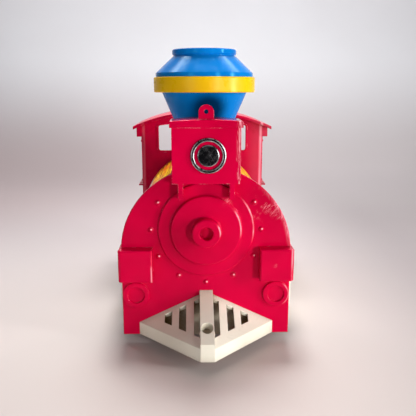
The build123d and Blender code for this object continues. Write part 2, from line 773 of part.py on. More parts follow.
outer_blank = pilot_blank(0, 0, pilot_bottom_z)
inner_blank = pilot_blank(pilot_wall, 1.2 * pilot_wall, pilot_bottom_z - 1)
with BuildPart() as pilot:
    add(outer_blank)
    # Flat-topped rib along the ridge down to the upright nose
    with BuildSketch(side_plane(1, -rib_half, plate_y, 0)):
        with BuildLine():
            Polyline(
                (0, pilot_bottom_z),
                (0, pilot_ridge_z + rib_rise),
                (-pilot_reach, pilot_ridge_z + rib_rise - front_fall * pilot_reach),
                (-pilot_reach, pilot_bottom_z),
                close=True,
            )
        make_face()
    extrude(amount=2 * rib_half)
    add(inner_blank, mode=Mode.SUBTRACT)
    # Slots between the bars, their ends parallel to the outline
    with BuildSketch(Plane.XY.offset(pilot_bottom_z)):
        slope = pilot_reach / (pilot_half - rib_half)
        for _, sign in SIDES:
            for near_x, far_x in slot_spans:
                with BuildLine():
                    Polyline(
                        (sign * near_x, plate_y - slot_from_plate),
                        (sign * far_x, plate_y - slot_from_plate),
                        (sign * far_x, plate_y - slope * (pilot_half - far_x) + slot_from_skirt),
                        (sign * near_x, plate_y - slope * (pilot_half - near_x) + slot_from_skirt),
                        close=True,
                    )
                make_face()
    extrude(amount=pilot_ridge_z, mode=Mode.SUBTRACT)
    # Tubular recess in the rib with a flat drilled floor
    with Locations((0, recess_y, recess_floor_z)):
        Cylinder(recess_radius + 1.2, 2 * recess_floor_thickness)
    with Locations((0, recess_y, recess_floor_z + 10)):
        Cylinder(recess_radius, 20, mode=Mode.SUBTRACT)
    with Locations((0, recess_y, recess_floor_z)):
        Cylinder(peg_hole_radius, 10, mode=Mode.SUBTRACT)
finish(pilot.part, "pilot")

# ---------------------------------------------------------------- wheels
rim_inner = 26.5
hub_radius = 8.0
boss_radius = 5.6
spoke_count = 10
groove_width = 5.0
groove_radius = 30.6
rear_tread_radius = wheel_radius - 0.3


def crank_offset(side):
    """Crank pin's place from its axle, as y and z."""
    angle = math.radians(crank_angle[side])
    return crank_radius * math.cos(angle), crank_radius * math.sin(angle)


def drive_wheel(side, sign, wheel_y, end_play, tread_radius, groove):
    """Spoked wheel with its hub, crank boss and balance weight, its outer face outwards."""
    pin_y, pin_z = crank_offset(side)
    face_x = sign * wheel_half_track + end_play
    face = side_plane(sign, face_x, wheel_y, axle_z)
    weight_angle = math.degrees(math.atan2(-pin_z, -sign * pin_y))
    with BuildPart() as wheel:
        with BuildSketch(face):
            Circle(tread_radius)
        extrude(amount=-wheel_width)
        chamfer(wheel.edges().filter_by(GeomType.CIRCLE), 0.8)
        # Dish on both faces leaves the rim and a thin web
        with BuildSketch(face):
            Circle(rim_inner)
        extrude(amount=-4.5, mode=Mode.SUBTRACT)
        with BuildSketch(face.offset(-wheel_width)):
            Circle(rim_inner)
        extrude(amount=4.2, mode=Mode.SUBTRACT)
        # Spokes, balance weight, hub and crank boss stand on the web
        with BuildSketch(face.offset(-4.5)):
            with PolarLocations((hub_radius + rim_inner) / 2, spoke_count, start_angle=weight_angle + 18):
                Rectangle(rim_inner - hub_radius + 2, 3.2)
        extrude(amount=3.0)
        with BuildSketch(face.offset(-4.5)):
            with BuildLine():
                outer = CenterArc((0, 0), rim_inner + 0.5, weight_angle - 36, 72)
                inner = CenterArc((0, 0), rim_inner - 8, weight_angle - 36, 72)
                Line(outer @ 0, inner @ 0)
                Line(outer @ 1, inner @ 1)
            make_face()
        extrude(amount=3.4)
        with BuildSketch(face.offset(-wheel_width)):
            Circle(hub_radius)
            with Locations((sign * pin_y, pin_z)):
                Circle(boss_radius)
        extrude(amount=wheel_width)
        # Inner hub that bears on the bush's flange
        hub_reach = wheel_half_track - tub_half - 2.2
        with BuildSketch(face.offset(-hub_reach)):
            Circle(bush_flange_radius)
        extrude(amount=hub_reach - wheel_width)
        with BuildSketch(face.offset(-hub_reach)):
            Circle(axle_radius)
        extrude(amount=hub_reach - 3.0, mode=Mode.SUBTRACT)
        with BuildSketch(face):
            with Locations((sign * pin_y, pin_z)):
                Circle(pin_radius)
        extrude(amount=-7.0, mode=Mode.SUBTRACT)
        if groove:
            with BuildSketch(face.offset(-(wheel_width + groove_width) / 2)):
                Circle(wheel_radius + 1)
                Circle(groove_radius, mode=Mode.SUBTRACT)
            extrude(amount=groove_width, mode=Mode.SUBTRACT)
    return wheel.part


for side, sign in SIDES:
    front_wheel = drive_wheel(side, sign, front_axle_y, front_end_play, wheel_radius, groove=False)
    finish(front_wheel, f"front_wheel_{side}")
    rear_wheel = drive_wheel(side, sign, rear_axle_y, 0.0, rear_tread_radius, groove=True)
    finish(rear_wheel, f"rear_wheel_{side}")
    with BuildPart() as traction_tyre:
        middle_x = sign * (wheel_half_track - (wheel_width + groove_width) / 2)
        with BuildSketch(side_plane(sign, middle_x, rear_axle_y, axle_z)):
            Circle(wheel_radius)
            Circle(groove_radius, mode=Mode.SUBTRACT)
        extrude(amount=groove_width)
    finish(traction_tyre.part, f"traction_tyre_{side}")

axle_end = wheel_half_track - 3.0
wheelset_places = (("front", front_axle_y, front_end_play), ("rear", rear_axle_y, 0.0))
for place, at_y, shift in wheelset_places:
    with BuildPart() as axle:
        with BuildSketch(side_plane(1, -axle_end + shift, at_y, axle_z)):
            Circle(axle_radius)
        extrude(amount=2 * axle_end)
    finish(axle.part, f"{place}_axle")

# ---------------------------------------------------------------- side rods and crank pins
for place, at_y, shift in wheelset_places:
    with BuildPart() as crank_pins:
        for side, sign in SIDES:
            pin_y, pin_z = crank_offset(side)
            face_x = wheel_half_track + sign * shift
            for start_x, end_x, radius in (
                (face_x - 7.0, pin_head_outer_x, pin_radius),
                (face_x, pin_collar_x, pin_radius + 1.4),
                (pin_head_inner_x, pin_head_outer_x, pin_radius + 1.6),
            ):
                with BuildSketch(side_plane(sign, sign * start_x, at_y + pin_y, axle_z + pin_z)):
                    Circle(radius)
                extrude(amount=end_x - start_x)
    finish(crank_pins.part, f"{place}_crank_pins")

rod_length = rear_axle_y - front_axle_y
for side, sign in SIDES:
    pin_y, pin_z = crank_offset(side)
    rod_plane = side_plane(sign, sign * rod_inner_x, rear_axle_y + pin_y, axle_z + pin_z)
    with BuildPart() as side_rod:
        with BuildSketch(rod_plane):
            with Locations((-sign * rod_length / 2, 0)):
                Rectangle(rod_length, 7)
            with Locations((0, 0), (-sign * rod_length, 0)):
                Circle(rod_eye_radius)
        extrude(amount=rod_outer_x - rod_inner_x)
        # Fluted middle
        with BuildSketch(rod_plane.offset(rod_outer_x - rod_inner_x)):
            with Locations((-sign * rod_length / 2, 0)):
                SlotOverall(rod_length - 4 * rod_eye_radius, 3.6)
        extrude(amount=-0.6, mode=Mode.SUBTRACT)
        # Running fit on the rear pin, loose on the front one
        with BuildSketch(rod_plane):
            Circle(pin_radius + running_clearance)
            with Locations((-sign * rod_length, 0)):
                Circle(pin_radius + 0.3)
        extrude(amount=rod_outer_x - rod_inner_x, mode=Mode.SUBTRACT)
    finish(side_rod.part, f"side_rod_{side}")

# ---------------------------------------------------------------- gears and motor


def tooth_outline(teeth):
    """Points up one involute flank, over the tip and down the other, centred on the local x axis."""
    pitch = module * teeth / 2
    base = pitch * math.cos(math.radians(pressure_angle))
    tip = pitch + addendum * module
    involute_at_pitch = math.tan(math.radians(pressure_angle)) - math.radians(pressure_angle)
    half_tooth = math.pi / (2 * teeth) - tooth_thinning / (2 * pitch)
    flank = []
    steps = 5
    flank_start = max(base, pitch - dedendum * module)
    for step in range(steps + 1):
        radius = flank_start + (tip - flank_start) * step / steps
        flank_angle = math.acos(base / radius)
        angle = half_tooth + involute_at_pitch - (math.tan(flank_angle) - flank_angle)
        flank.append((radius, angle))
    foot = (pitch - dedendum * module - 0.3, flank[0][1])
    flank = [foot] + flank
    lower = [(r * math.cos(a), -r * math.sin(a)) for r, a in flank]
    upper = [(r * math.cos(a), r * math.sin(a)) for r, a in reversed(flank)]
    return lower + upper


def spur_gear(teeth, plane, width, phase, bore):
    """Spur gear on a plane, one tooth at the phase angle, with a plain bore."""
    with BuildSketch() as tooth:
        with BuildLine():
            Polyline(*tooth_outline(teeth), close=True)
        make_face()
    with BuildPart() as gear:
        with BuildSketch(plane):
            Circle(module * teeth / 2 - dedendum * module)
            with PolarLocations(0, teeth, start_angle=phase):
                add(tooth.sketch)
            Circle(bore, mode=Mode.SUBTRACT)
        extrude(amount=width)
    return gear.part


# Where each gear stands across the locomotive
axle_gear_x = -23.5
idler_small_x = -24.0
idler_small_width = 6.0
idler_big_x = -17.0
pinion_x = -17.5
idler_shaft_radius = 1.5
motor_shaft_radius = 1.0

axle_gear = spur_gear(
    axle_teeth, side_plane(1, axle_gear_x, rear_axle_y, axle_z), 5.0, idler_angle, axle_radius
)
finish(axle_gear, "axle_gear")

# The small wheel of the idler has a gap towards the axle gear, the big one a tooth towards the pinion
small_phase = idler_angle + 180 + 180 / idler_small_teeth
idler_small = spur_gear(
    idler_small_teeth,
    side_plane(1, idler_small_x, idler_y, idler_z),
    idler_small_width,
    small_phase,
    idler_shaft_radius,
)
idler_big = spur_gear(
    idler_big_teeth, side_plane(1, idler_big_x, idler_y, idler_z), 3.0, motor_angle, idler_shaft_radius
)
with BuildPart() as idler_gear:
    add(idler_small)
    add(idler_big)
    with BuildSketch(side_plane(1, idler_small_x + idler_small_width, idler_y, idler_z)):
        Circle(4.0)
        Circle(idler_shaft_radius, mode=Mode.SUBTRACT)
    extrude(amount=idler_big_x - idler_small_x - idler_small_width)
finish(idler_gear.part, "idler_gear")

frame_left_x = -27.0
frame_right_x = -11.5
frame_plate = 2.0
with BuildPart() as idler_shaft:
    with BuildSketch(side_plane(1, frame_left_x - 0.5, idler_y, idler_z)):
        Circle(idler_shaft_radius)
    extrude(amount=frame_right_x + frame_plate - frame_left_x + 1)
finish(idler_shaft.part, "idler_shaft")

pinion_phase = motor_angle + 180 + 180 / pinion_teeth
motor_pinion = spur_gear(
    pinion_teeth, side_plane(1, pinion_x, motor_y, motor_z), 4.0, pinion_phase, motor_shaft_radius
)
finish(motor_pinion, "motor_pinion")

can_radius = 10.0
can_length = 24.0
can_x = frame_right_x + frame_plate
gearbox_front_y = rear_axle_y - 10.0
gearbox_back_y = rear_axle_y + 36.0
gearbox_top_z = 64.0
gearbox_middle = ((gearbox_front_y + gearbox_back_y) / 2, (tub_bottom_z + wall + gearbox_top_z) / 2)
with BuildPart() as gearbox_frame:
    for plate_x in (frame_left_x, frame_right_x):
        with BuildSketch(side_plane(1, plate_x, 0, 0)):
            with Locations(gearbox_middle):
                Rectangle(gearbox_back_y - gearbox_front_y, gearbox_top_z - tub_bottom_z - wall)
            with Locations((rear_axle_y, axle_z)):
                Circle(axle_radius + 1, mode=Mode.SUBTRACT)
            with Locations((idler_y, idler_z)):
                Circle(idler_shaft_radius + running_clearance, mode=Mode.SUBTRACT)
        extrude(amount=frame_plate)
    with BuildSketch(side_plane(1, frame_right_x, motor_y, motor_z)):
        Circle(3.0)
    extrude(amount=frame_plate, mode=Mode.SUBTRACT)
    with BuildSketch(Plane.XY.offset(gearbox_top_z - 2)):
        with Locations(((frame_left_x + frame_right_x + frame_plate) / 2, gearbox_back_y - 12)):
            Rectangle(frame_right_x + frame_plate - frame_left_x, 24)
    extrude(amount=2)
finish(gearbox_frame.part, "gearbox_frame")

with BuildPart() as motor_can:
    with BuildSketch(side_plane(1, can_x, motor_y, motor_z)):
        Circle(can_radius)
        Rectangle(2 * can_radius, 15.4, mode=Mode.INTERSECT)
    extrude(amount=can_length)
    with BuildSketch(side_plane(1, can_x + 1, motor_y, motor_z)):
        Circle(can_radius - 1)
        Rectangle(2 * can_radius, 13.4, mode=Mode.INTERSECT)
    extrude(amount=can_length - 1, mode=Mode.SUBTRACT)
    with BuildSketch(side_plane(1, can_x - 1.6, motor_y, motor_z)):
        Circle(3.0)
    extrude(amount=1.6)
    with BuildSketch(side_plane(1, can_x - 1.6, motor_y, motor_z)):
        Circle(motor_shaft_radius + running_clearance)
    extrude(amount=3, mode=Mode.SUBTRACT)
finish(motor_can.part, "motor_can")

with BuildPart() as motor_end_cap:
    with BuildSketch(side_plane(1, can_x + can_length, motor_y, motor_z)):
        Circle(can_radius)
        Rectangle(2 * can_radius, 15.4, mode=Mode.INTERSECT)
    extrude(amount=2)
    with BuildSketch(side_plane(1, can_x + can_length + 2, motor_y, motor_z)):
        Circle(3.0)
    extrude(amount=2)
    for lead_z in (-5.0, 5.0):
        with BuildSketch(side_plane(1, can_x + can_length + 2, motor_y + 6, motor_z + lead_z)):
            Rectangle(3, 0.6)
        extrude(amount=4)
    with BuildSketch(side_plane(1, can_x + can_length, motor_y, motor_z)):
        Circle(motor_shaft_radius + running_clearance)
    extrude(amount=3, mode=Mode.SUBTRACT)
finish(motor_end_cap.part, "motor_end_cap")

with BuildPart() as motor_rotor:
    with BuildSketch(side_plane(1, pinion_x - 0.5, motor_y, motor_z)):
        Circle(motor_shaft_radius)
    extrude(amount=can_x + can_length + 2.5 - pinion_x)
    with BuildSketch(side_plane(1, can_x + 4, motor_y, motor_z)):
        Circle(6.2)
    extrude(amount=15)
finish(motor_rotor.part, "motor_rotor")

# ---------------------------------------------------------------- batteries and their door
cell_front_y = plate_y + 77.2
cell_length = 47.0
nub_length = 1.5
for side, sign in SIDES:
    with BuildPart() as battery_cell:
        with BuildSketch(across(cell_front_y)):
            with Locations((sign * cell_x, cell_z)):
                Circle(cell_radius)
        extrude(amount=-cell_length)
        fillet(battery_cell.edges().filter_by(GeomType.CIRCLE), 0.8)
        # The two cells lie in opposite directions
        nub_y = cell_front_y + cell_length if sign < 0 else cell_front_y
        with BuildSketch(across(nub_y)):
            with Locations((sign * cell_x, cell_z)):
                Circle(3.2)
        extrude(amount=nub_length * sign)
    finish(battery_cell.part, f"battery_cell_{side}")

contact_thickness = 0.5
with BuildPart() as battery_contacts:
    with BuildSketch(across(bay_front_y + bay_wall)):
        with Locations((0, cell_z)):
            Rectangle(2 * cell_x + 12, 10)
    extrude(amount=-contact_thickness)
    for _, sign in SIDES:
        with BuildSketch(across(bay_back_y - bay_wall)):
            with Locations((sign * cell_x, cell_z)):
                Rectangle(12, 12)
        extrude(amount=contact_thickness)
        with BuildSketch(across(bay_back_y - bay_wall - contact_thickness)):
            with Locations((sign * cell_x, cell_z)):
                Circle(3.0)
        extrude(amount=2.2)
finish(battery_contacts.part, "battery_contacts")

with BuildPart() as battery_door:
    with BuildSketch(Plane.XY.offset(door_top_z - door_thickness)):
        with Locations((0, (bay_front_y + bay_back_y) / 2)):
            Rectangle(2 * bay_half, door_length)
    extrude(amount=door_thickness)
    # Finger ridges at the back end
    with BuildSketch(Plane.XY.offset(door_top_z - door_thickness)):
        with Locations((0, bay_back_y - 9)):
            with GridLocations(0, 3, 1, 5):
                Rectangle(24, 1.2)
    extrude(amount=-1.0)
finish(battery_door.part, "battery_door")

# ---------------------------------------------------------------- switch
switch_body_top = board_bottom_z
switch_body_height = 9.0
with BuildPart() as switch_body:
    with BuildSketch(Plane.XY.offset(switch_body_top - switch_body_height)):
        with Locations((0, switch_y)):
            Rectangle(22, 11)
    extrude(amount=switch_body_height)
    with BuildSketch(Plane.XY.offset(switch_body_top)):
        with Locations((0, switch_y)):
            Rectangle(switch_slot, 4.2)
    extrude(amount=-5, mode=Mode.SUBTRACT)
finish(switch_body.part, "switch_body")

switch_rest_x = -switch_travel / 2
with BuildPart() as switch_knob:
    with BuildSketch(Plane.XY.offset(switch_body_top - 4.5)):
        with Locations((switch_rest_x, switch_y)):
            Rectangle(5, 3.4)
    extrude(amount=arch_z + 1 - switch_body_top + 4.5)
    with BuildSketch(Plane.XY.offset(arch_z + 0.4)):
        with Locations((switch_rest_x, switch_y)):
            Rectangle(8, 7)
    extrude(amount=5)
    fillet(switch_knob.faces().sort_by(Axis.Z)[-1].edges(), 1.2)
finish(switch_knob.part, "switch_knob")

# ---------------------------------------------------------------- rear coupler
hook_bottom_z = tongue_bottom_z + tongue_thickness + 0.3
hook_thickness = 3.0
hook_eye_y = plate_y + 222.0
hook_radius = 6.0
coupler_eye_radius = 2.6
with BuildPart() as coupler_hook:
    with BuildSketch(Plane.XY.offset(hook_bottom_z)):
        with Locations((0, (coupler_pivot_y + hook_eye_y) / 2)):
            Rectangle(2 * hook_radius, hook_eye_y - coupler_pivot_y)
        with Locations((0, coupler_pivot_y), (0, hook_eye_y)):
            Circle(hook_radius)
        with Locations((0, coupler_pivot_y)):
            Circle(pin_radius + running_clearance, mode=Mode.SUBTRACT)
        with Locations((0, hook_eye_y)):
            Circle(coupler_eye_radius, mode=Mode.SUBTRACT)
    extrude(amount=hook_thickness)
finish(coupler_hook.part, "coupler_hook")

with BuildPart() as coupler_pin:
    with BuildSketch(Plane.XY.offset(tongue_bottom_z - 1)):
        with Locations((0, coupler_pivot_y)):
            Circle(pin_radius)
    extrude(amount=tongue_thickness + hook_thickness + 1 + 0.6)
    for head_z in (tongue_bottom_z - 1, hook_bottom_z + hook_thickness + 0.3):
        with BuildSketch(Plane.XY.offset(head_z)):
            with Locations((0, coupler_pivot_y)):
                Circle(pin_radius + 1.4)
        extrude(amount=1)
finish(coupler_pin.part, "coupler_pin")
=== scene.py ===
import math

import bmesh
import bpy
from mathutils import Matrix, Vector


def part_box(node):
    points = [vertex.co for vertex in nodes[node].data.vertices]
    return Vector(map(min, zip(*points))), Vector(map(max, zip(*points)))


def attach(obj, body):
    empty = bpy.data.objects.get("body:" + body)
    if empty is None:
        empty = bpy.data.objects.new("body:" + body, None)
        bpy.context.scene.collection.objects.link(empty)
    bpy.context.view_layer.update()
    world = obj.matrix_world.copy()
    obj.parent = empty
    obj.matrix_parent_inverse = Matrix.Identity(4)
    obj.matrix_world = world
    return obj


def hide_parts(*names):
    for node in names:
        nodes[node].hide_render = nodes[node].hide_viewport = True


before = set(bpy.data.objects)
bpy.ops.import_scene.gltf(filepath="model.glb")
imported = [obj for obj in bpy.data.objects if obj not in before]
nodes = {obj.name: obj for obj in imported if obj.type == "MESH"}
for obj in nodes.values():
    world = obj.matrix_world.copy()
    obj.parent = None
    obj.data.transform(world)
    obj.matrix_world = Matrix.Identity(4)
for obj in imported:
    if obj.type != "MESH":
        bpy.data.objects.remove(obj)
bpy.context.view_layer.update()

# ------------------------------------------------------------------ the studio
# A pale sweep of painted board, two soft lamps low on the right and a weak one on the left,
# one overhead, one on the wall and two strips high behind. The camera looks slightly down.
MM = 0.001
SIDES = (("left", -1), ("right", 1))
flange_thickness = 3.0 * MM
flange_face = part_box("boiler_shell")[0].y - flange_thickness

scene = bpy.context.scene
scene.view_settings.view_transform = "Standard"
scene.view_settings.look = "None"

focal_length = 45.43269
camera_distance = 366.9 * MM
camera_height = 188.4 * MM
camera_side = -9.1 * MM
look_down = math.radians(12.87)
look_right = math.radians(1.64)
camera_data = bpy.data.cameras.new("camera")
camera_data.sensor_width = 36.0
camera_data.lens = focal_length
camera_data.clip_start = 0.01
camera = bpy.data.objects.new("camera", camera_data)
camera.location = (camera_side, flange_face - camera_distance, camera_height)
camera.rotation_euler = (math.radians(90) - look_down, 0, -look_right)
scene.collection.objects.link(camera)
scene.camera = camera


def make_object(name, data, body=None):
    """Link a new object, and let it ride on a body if one is named."""
    thing = bpy.data.objects.new(name, data)
    scene.collection.objects.link(thing)
    if body is not None:
        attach(thing, body)
    return thing


def area_lamp(name, place, target, size, watts, colour):
    """Rectangular soft lamp that faces its target and isn't seen itself."""
    lamp = bpy.data.lights.new(name, "AREA")
    lamp.shape = "RECTANGLE"
    lamp.size, lamp.size_y = size
    lamp.energy = watts
    lamp.color = colour
    thing = make_object(name, lamp)
    thing.location = place
    direction = Vector(target) - Vector(place)
    thing.rotation_euler = direction.to_track_quat("-Z", "Y").to_euler()
    thing.visible_camera = False


heart = (0, -0.06, 0.10)
stack_heart = (0, -0.04, 0.2)
area_lamp("key_lamp", (0.55, -1.00, 0.07), heart, (0.14, 0.28), 6.8, (1.0, 0.985, 0.96))
area_lamp("window_lamp", (0.92, -0.46, 0.22), heart, (0.12, 0.60), 8.5, (1.0, 0.99, 0.97))
area_lamp("fill_lamp", (-0.62, -1.05, 0.16), heart, (0.2, 0.4), 1.7, (0.96, 0.97, 1.0))
area_lamp("strip_left", (-0.40, 0.31, 0.93), stack_heart, (0.07, 0.4), 1.0, (1.0, 1.0, 1.0))
area_lamp("strip_right", (0.40, 0.31, 0.93), stack_heart, (0.07, 0.4), 0.65, (1.0, 1.0, 1.0))
area_lamp("wall_lamp", (0.0, 0.35, 0.95), (0.0, 1.1, 0.45), (0.9, 0.3), 4.4, (0.97, 0.98, 1.0))
area_lamp("top_lamp", (0.02, 0.20, 0.80), (0, -0.10, 0), (0.28, 0.20), 6.3, (1.0, 0.99, 0.98))

world = bpy.data.worlds.new("studio_sky")
world.use_nodes = True
world.node_tree.nodes["Background"].inputs["Color"].default_value = (0.93, 0.92, 0.93, 1)
world.node_tree.nodes["Background"].inputs["Strength"].default_value = 0.11
scene.world = world


class Signal:
    """One value in a node tree, used in sums and products like a number."""

    def __init__(self, bench, socket):
        self.bench = bench
        self.socket = socket

    def math(self, operation, *values):
        return self.bench.node("ShaderNodeMath", {"operation": operation}, dict(enumerate(values)))

    def __add__(self, other):
        return self.math("ADD", self, other)

    def __sub__(self, other):
        return self.math("SUBTRACT", self, other)

    def __rsub__(self, other):
        return self.math("SUBTRACT", other, self)

    def __mul__(self, other):
        return self.math("MULTIPLY", self, other)

    def __truediv__(self, other):
        return self.math("DIVIDE", self, other)

    __radd__ = __add__

    def distance(self, other):
        return self.math("ABSOLUTE", self - other)

    def either(self, other):
        return self.math("MAXIMUM", self, other)

    def ramp(self, start, end, low=0.0, high=1.0):
        """Smooth change from low to high while the value goes from start to end."""
        settings = {"interpolation_type": "SMOOTHSTEP"}
        return self.bench.node("ShaderNodeMapRange", settings, {0: self, 1: start, 2: end, 3: low, 4: high})


class Bench:
    """A node tree being wired, with one method that adds any node."""

    def __init__(self, tree):
        self.tree = tree

    def node(self, kind, settings=None, values=None, output=0):
        made = self.tree.nodes.new(kind)
        for key, value in (settings or {}).items():
            setattr(made, key, value)
        for key, value in (values or {}).items():
            self.feed(made.inputs[key], value)
        return Signal(self, made.outputs[output])

    def feed(self, socket, value):
        if isinstance(value, Signal):
            self.tree.links.new(value.socket, socket)
        else:
            socket.default_value = value


class Paint(Bench):
    """A finish being mixed: a material, its shader and the marks that wear leaves on it."""

    def __init__(self, name, **constants):
        self.material = bpy.data.materials.new(name)
        self.material.use_nodes = True
        super().__init__(self.material.node_tree)
        self.shader = self.tree.nodes["Principled BSDF"]
        self.set(**constants)
        self.place = self.node("ShaderNodeTexCoord", output="Object")

    def set(self, **values):
        """Feed the shader's own sockets, such as Base_Color or Roughness."""
        for socket_name, value in values.items():
            self.feed(self.shader.inputs[socket_name.replace("_", " ")], value)
        return self

    def noise(self, scale, detail=2.0, rough=0.5, at=None, **more):
        values = {"Vector": at or self.place, "Scale": scale, "Detail": detail, "Roughness": rough}
        values.update(more)
        return self.node("ShaderNodeTexNoise", {}, values, output="Fac")

    def moved(self, scale=(1, 1, 1), turn=(0, 0, 0), shift=(0, 0, 0), at=None):
        values = {"Vector": at or self.place, "Location": shift, "Rotation": turn, "Scale": scale}
        return self.node("ShaderNodeMapping", {}, values)

    def mix(self, factor, first, second):
        return self.node("ShaderNodeMix", {"data_type": "RGBA"}, {0: factor, 6: first, 7: second}, output=2)

    def axis(self, letter):
        return self.node("ShaderNodeSeparateXYZ", {}, {0: self.place}, output=letter)

    def near(self, spot, radius):
        """1 around a spot on the object, fading to 0 at the radius."""
        return self.away(self.place, spot).ramp(radius * 0.35, radius, 1.0, 0.0)

    def away(self, place, spot):
        """Distance of a place from a spot."""
        settings = {"operation": "DISTANCE"}
        return self.node("ShaderNodeVectorMath", settings, {0: place, 1: spot}, output="Value")

    def around(self, x, z):
        """Distance from a line that runs from front to back at this x and z."""
        return self.away(self.moved((1, 0, 1)), (x, 0, z))

    def edges(self, radius):
        """Softened normal, and a mask that is 1 on sharp corners."""
        soft = self.node("ShaderNodeBevel", {"samples": 6}, {"Radius": radius})
        true = self.node("ShaderNodeNewGeometry", output="Normal")
        settings = {"operation": "DOT_PRODUCT"}
        alike = self.node("ShaderNodeVectorMath", settings, {0: soft, 1: true}, output="Value")
        return soft, (1.0 - alike).ramp(0.01, 0.16)

    def bump(self, height, strength, distance, normal=None):
        values = {"Height": height, "Strength": strength, "Distance": distance}
        if normal is not None:
            values["Normal"] = normal
        return self.node("ShaderNodeBump", {}, values)

    def hairs(self, stretch, turn, width, seed):
        """Hair scratches: thin contour lines of a stretched noise."""
        turned = self.moved((1, 1, 1), turn)
        lines = self.noise(9.0, 1.0, at=self.moved(stretch, shift=(seed, seed * 0.7, seed * 1.3), at=turned))
        return lines.distance(0.5).ramp(width, width * 0.25)


def linear(red, green, blue):
    """Shader colour for a colour given as the eye sees it, 0 to 255."""
    def one(value):
        value /= 255.0
        return value / 12.92 if value <= 0.04045 else ((value + 0.055) / 1.055) ** 2.4
    return (one(red), one(green), one(blue), 1.0)


# Floor and back wall in one painted sweep, warmer in front and whiter up the wall,
# with painted shade far in front, on the left behind the toy and on the right
sweep_half_width = 2.5
sweep_front = -1.6
wall_y = 1.1
bend_radius = 0.5
bend_steps = 16
wall_top = 2.0
profile = [(sweep_front, 0.0), (wall_y - bend_radius, 0.0)]
for step in range(1, bend_steps + 1):
    turn = math.radians(90 * step / bend_steps)
    profile.append((wall_y - bend_radius + bend_radius * math.sin(turn), bend_radius * (1 - math.cos(turn))))
profile.append((wall_y, wall_top))
sweep_mesh = bpy.data.meshes.new("sweep")
sweep = bmesh.new()
rows = [[sweep.verts.new((sign * sweep_half_width, y, z)) for y, z in profile] for _, sign in SIDES]
for near, far in zip(range(len(profile) - 1), range(1, len(profile))):
    face = sweep.faces.new((rows[0][near], rows[1][near], rows[1][far], rows[0][far]))
    face.smooth = True
sweep.to_mesh(sweep_mesh)
sweep.free()
floor = make_object("sweep", sweep_mesh)
board = Paint("painted_board", Roughness=0.75, Specular_IOR_Level=0.2)
mottle = board.noise(5.0, 3.0, 0.5)
ground = board.mix(board.axis("Y").ramp(-0.15, 0.30), linear(216, 206, 202), linear(196, 188, 189))
# Painted shade: the floor darkens far in front, so the plate reflects a darker floor.
ground = board.mix(board.axis("Y").ramp(-0.30, -0.55), ground, linear(170, 162, 162))
# Painted shade: darker on the left behind the toy, and on the right short of the wall.
shade = board.axis("X").ramp(-0.30, 0.10, 1.0, 0.0) * board.axis("Y").ramp(0.05, 0.45)
ground = board.mix(shade * 0.6, ground, linear(170, 150, 150))
right_shade = board.axis("X").ramp(0.04, 0.26) * board.axis("Y").ramp(0.75, 0.25)
ground = board.mix(right_shade, ground, linear(160, 152, 153))
wall_tone = board.mix(board.axis("Z").ramp(0.0, 0.28), ground, linear(240, 240, 244))
board.set(Base_Color=board.mix(mottle.ramp(0.3, 0.7) * 0.05, wall_tone, linear(190, 180, 180)))
board.set(Normal=board.bump(board.noise(300.0, 2.0), 0.05, 0.2 * MM))
sweep_mesh.materials.append(board.material)

# ------------------------------------------------------------------ chassis
# A black polystyrene tub under the deck that carries the axles, the drive and the cells.
# Four screws from below pull it to the deck, and its surface is finely spark-eroded.


def moulded(
    name, deep, body, worn_and_painted_light, tint=(1, 1, 1, 1), rough=0.2, wear=0.5, hair=0.0, marks_at=(), round_by=0.5,
    shine=0.36, rubs_and_painted_light=None, painted_hollow_shade=None, left_unshaded=((0, 0, 0), MM),
):
    """Injection-moulded plastic that has been played with.

    marks_at lists (place, radius) of scratched patches, rubs is a function that makes a mask of worn
    colour, used for painted highlights, painted shadow and real hair marks, and grime is the colour of
    painted shade in deep hollows, left out around left_unshaded (place, radius).
    """
    paint = Paint(name, IOR=1.49, Specular_IOR_Level=shine, Specular_Tint=tint)
    soft, corner = paint.edges(round_by * MM)
    clouds = paint.noise(14.0, 3.0, 0.55)
    smudges = paint.noise(60.0, 5.0, 0.6, Distortion=0.6)
    grain = paint.noise(1300.0, 2.0, 0.5)
    rare = paint.noise(24.0, 2.0, at=paint.moved(shift=(3.1, 0.4, 7.0))).ramp(0.60, 0.68) * hair
    for spot, radius in marks_at:
        rare = rare.either(paint.near(spot, radius) * paint.noise(60.0, 3.0, 0.6).ramp(0.44, 0.56))
    steep = paint.hairs((150.0, 5.0, 5.0), (0.0, -0.62, 0.0), 0.05, 7.7)
    flat = paint.hairs((5.0, 5.0, 150.0), (0.0, 0.35, 0.0), 0.03, 3.1)
    marks = steep.either(flat * 0.7) * rare
    chips = corner * paint.noise(150.0, 4.0, 0.7).ramp(0.50, 0.62) * wear
    tone = paint.mix(clouds.ramp(0.35, 0.68), deep, body)
    tone = paint.mix(marks * 0.6, tone, worn_and_painted_light)
    tone = paint.mix(chips * 0.75, tone, worn_and_painted_light)
    # Painted shade: hollows found by occlusion are darkened towards the given colour, except around one spot.
    if painted_hollow_shade is not None:
        hollow = paint.node("ShaderNodeAmbientOcclusion", {"samples": 8}, {"Distance": 25 * MM}, output="AO")
        tone = paint.mix(hollow.ramp(0.74, 0.42) * (1.0 - paint.near(*left_unshaded)), tone, painted_hollow_shade)
    # Painted highlights, and on the stack a painted shadow, along with some real hair marks.
    if rubs_and_painted_light is not None:
        tone = paint.mix(rubs_and_painted_light(paint), tone, worn_and_painted_light)
    gloss = smudges.ramp(0.35, 0.72, rough * 0.75, rough * 1.5) + marks * 0.3 + chips * 0.25
    skin = paint.noise(200.0, 2.0, 0.5) * 0.7 + grain * 0.3 - marks * 0.8
    paint.set(Base_Color=tone, Roughness=gloss, Normal=paint.bump(skin, 0.13, 0.05 * MM, soft))
    return paint.material


def dress(material, *names):
    """Give CAD nodes their finish."""
    for name in names:
        nodes[name].material_slots[0].material = material


black = moulded(
    "black_moulding", linear(17, 17, 19), linear(30, 30, 33), linear(104, 102, 100), rough=0.4, hair=0.5
)
dress(black, "chassis_frame")


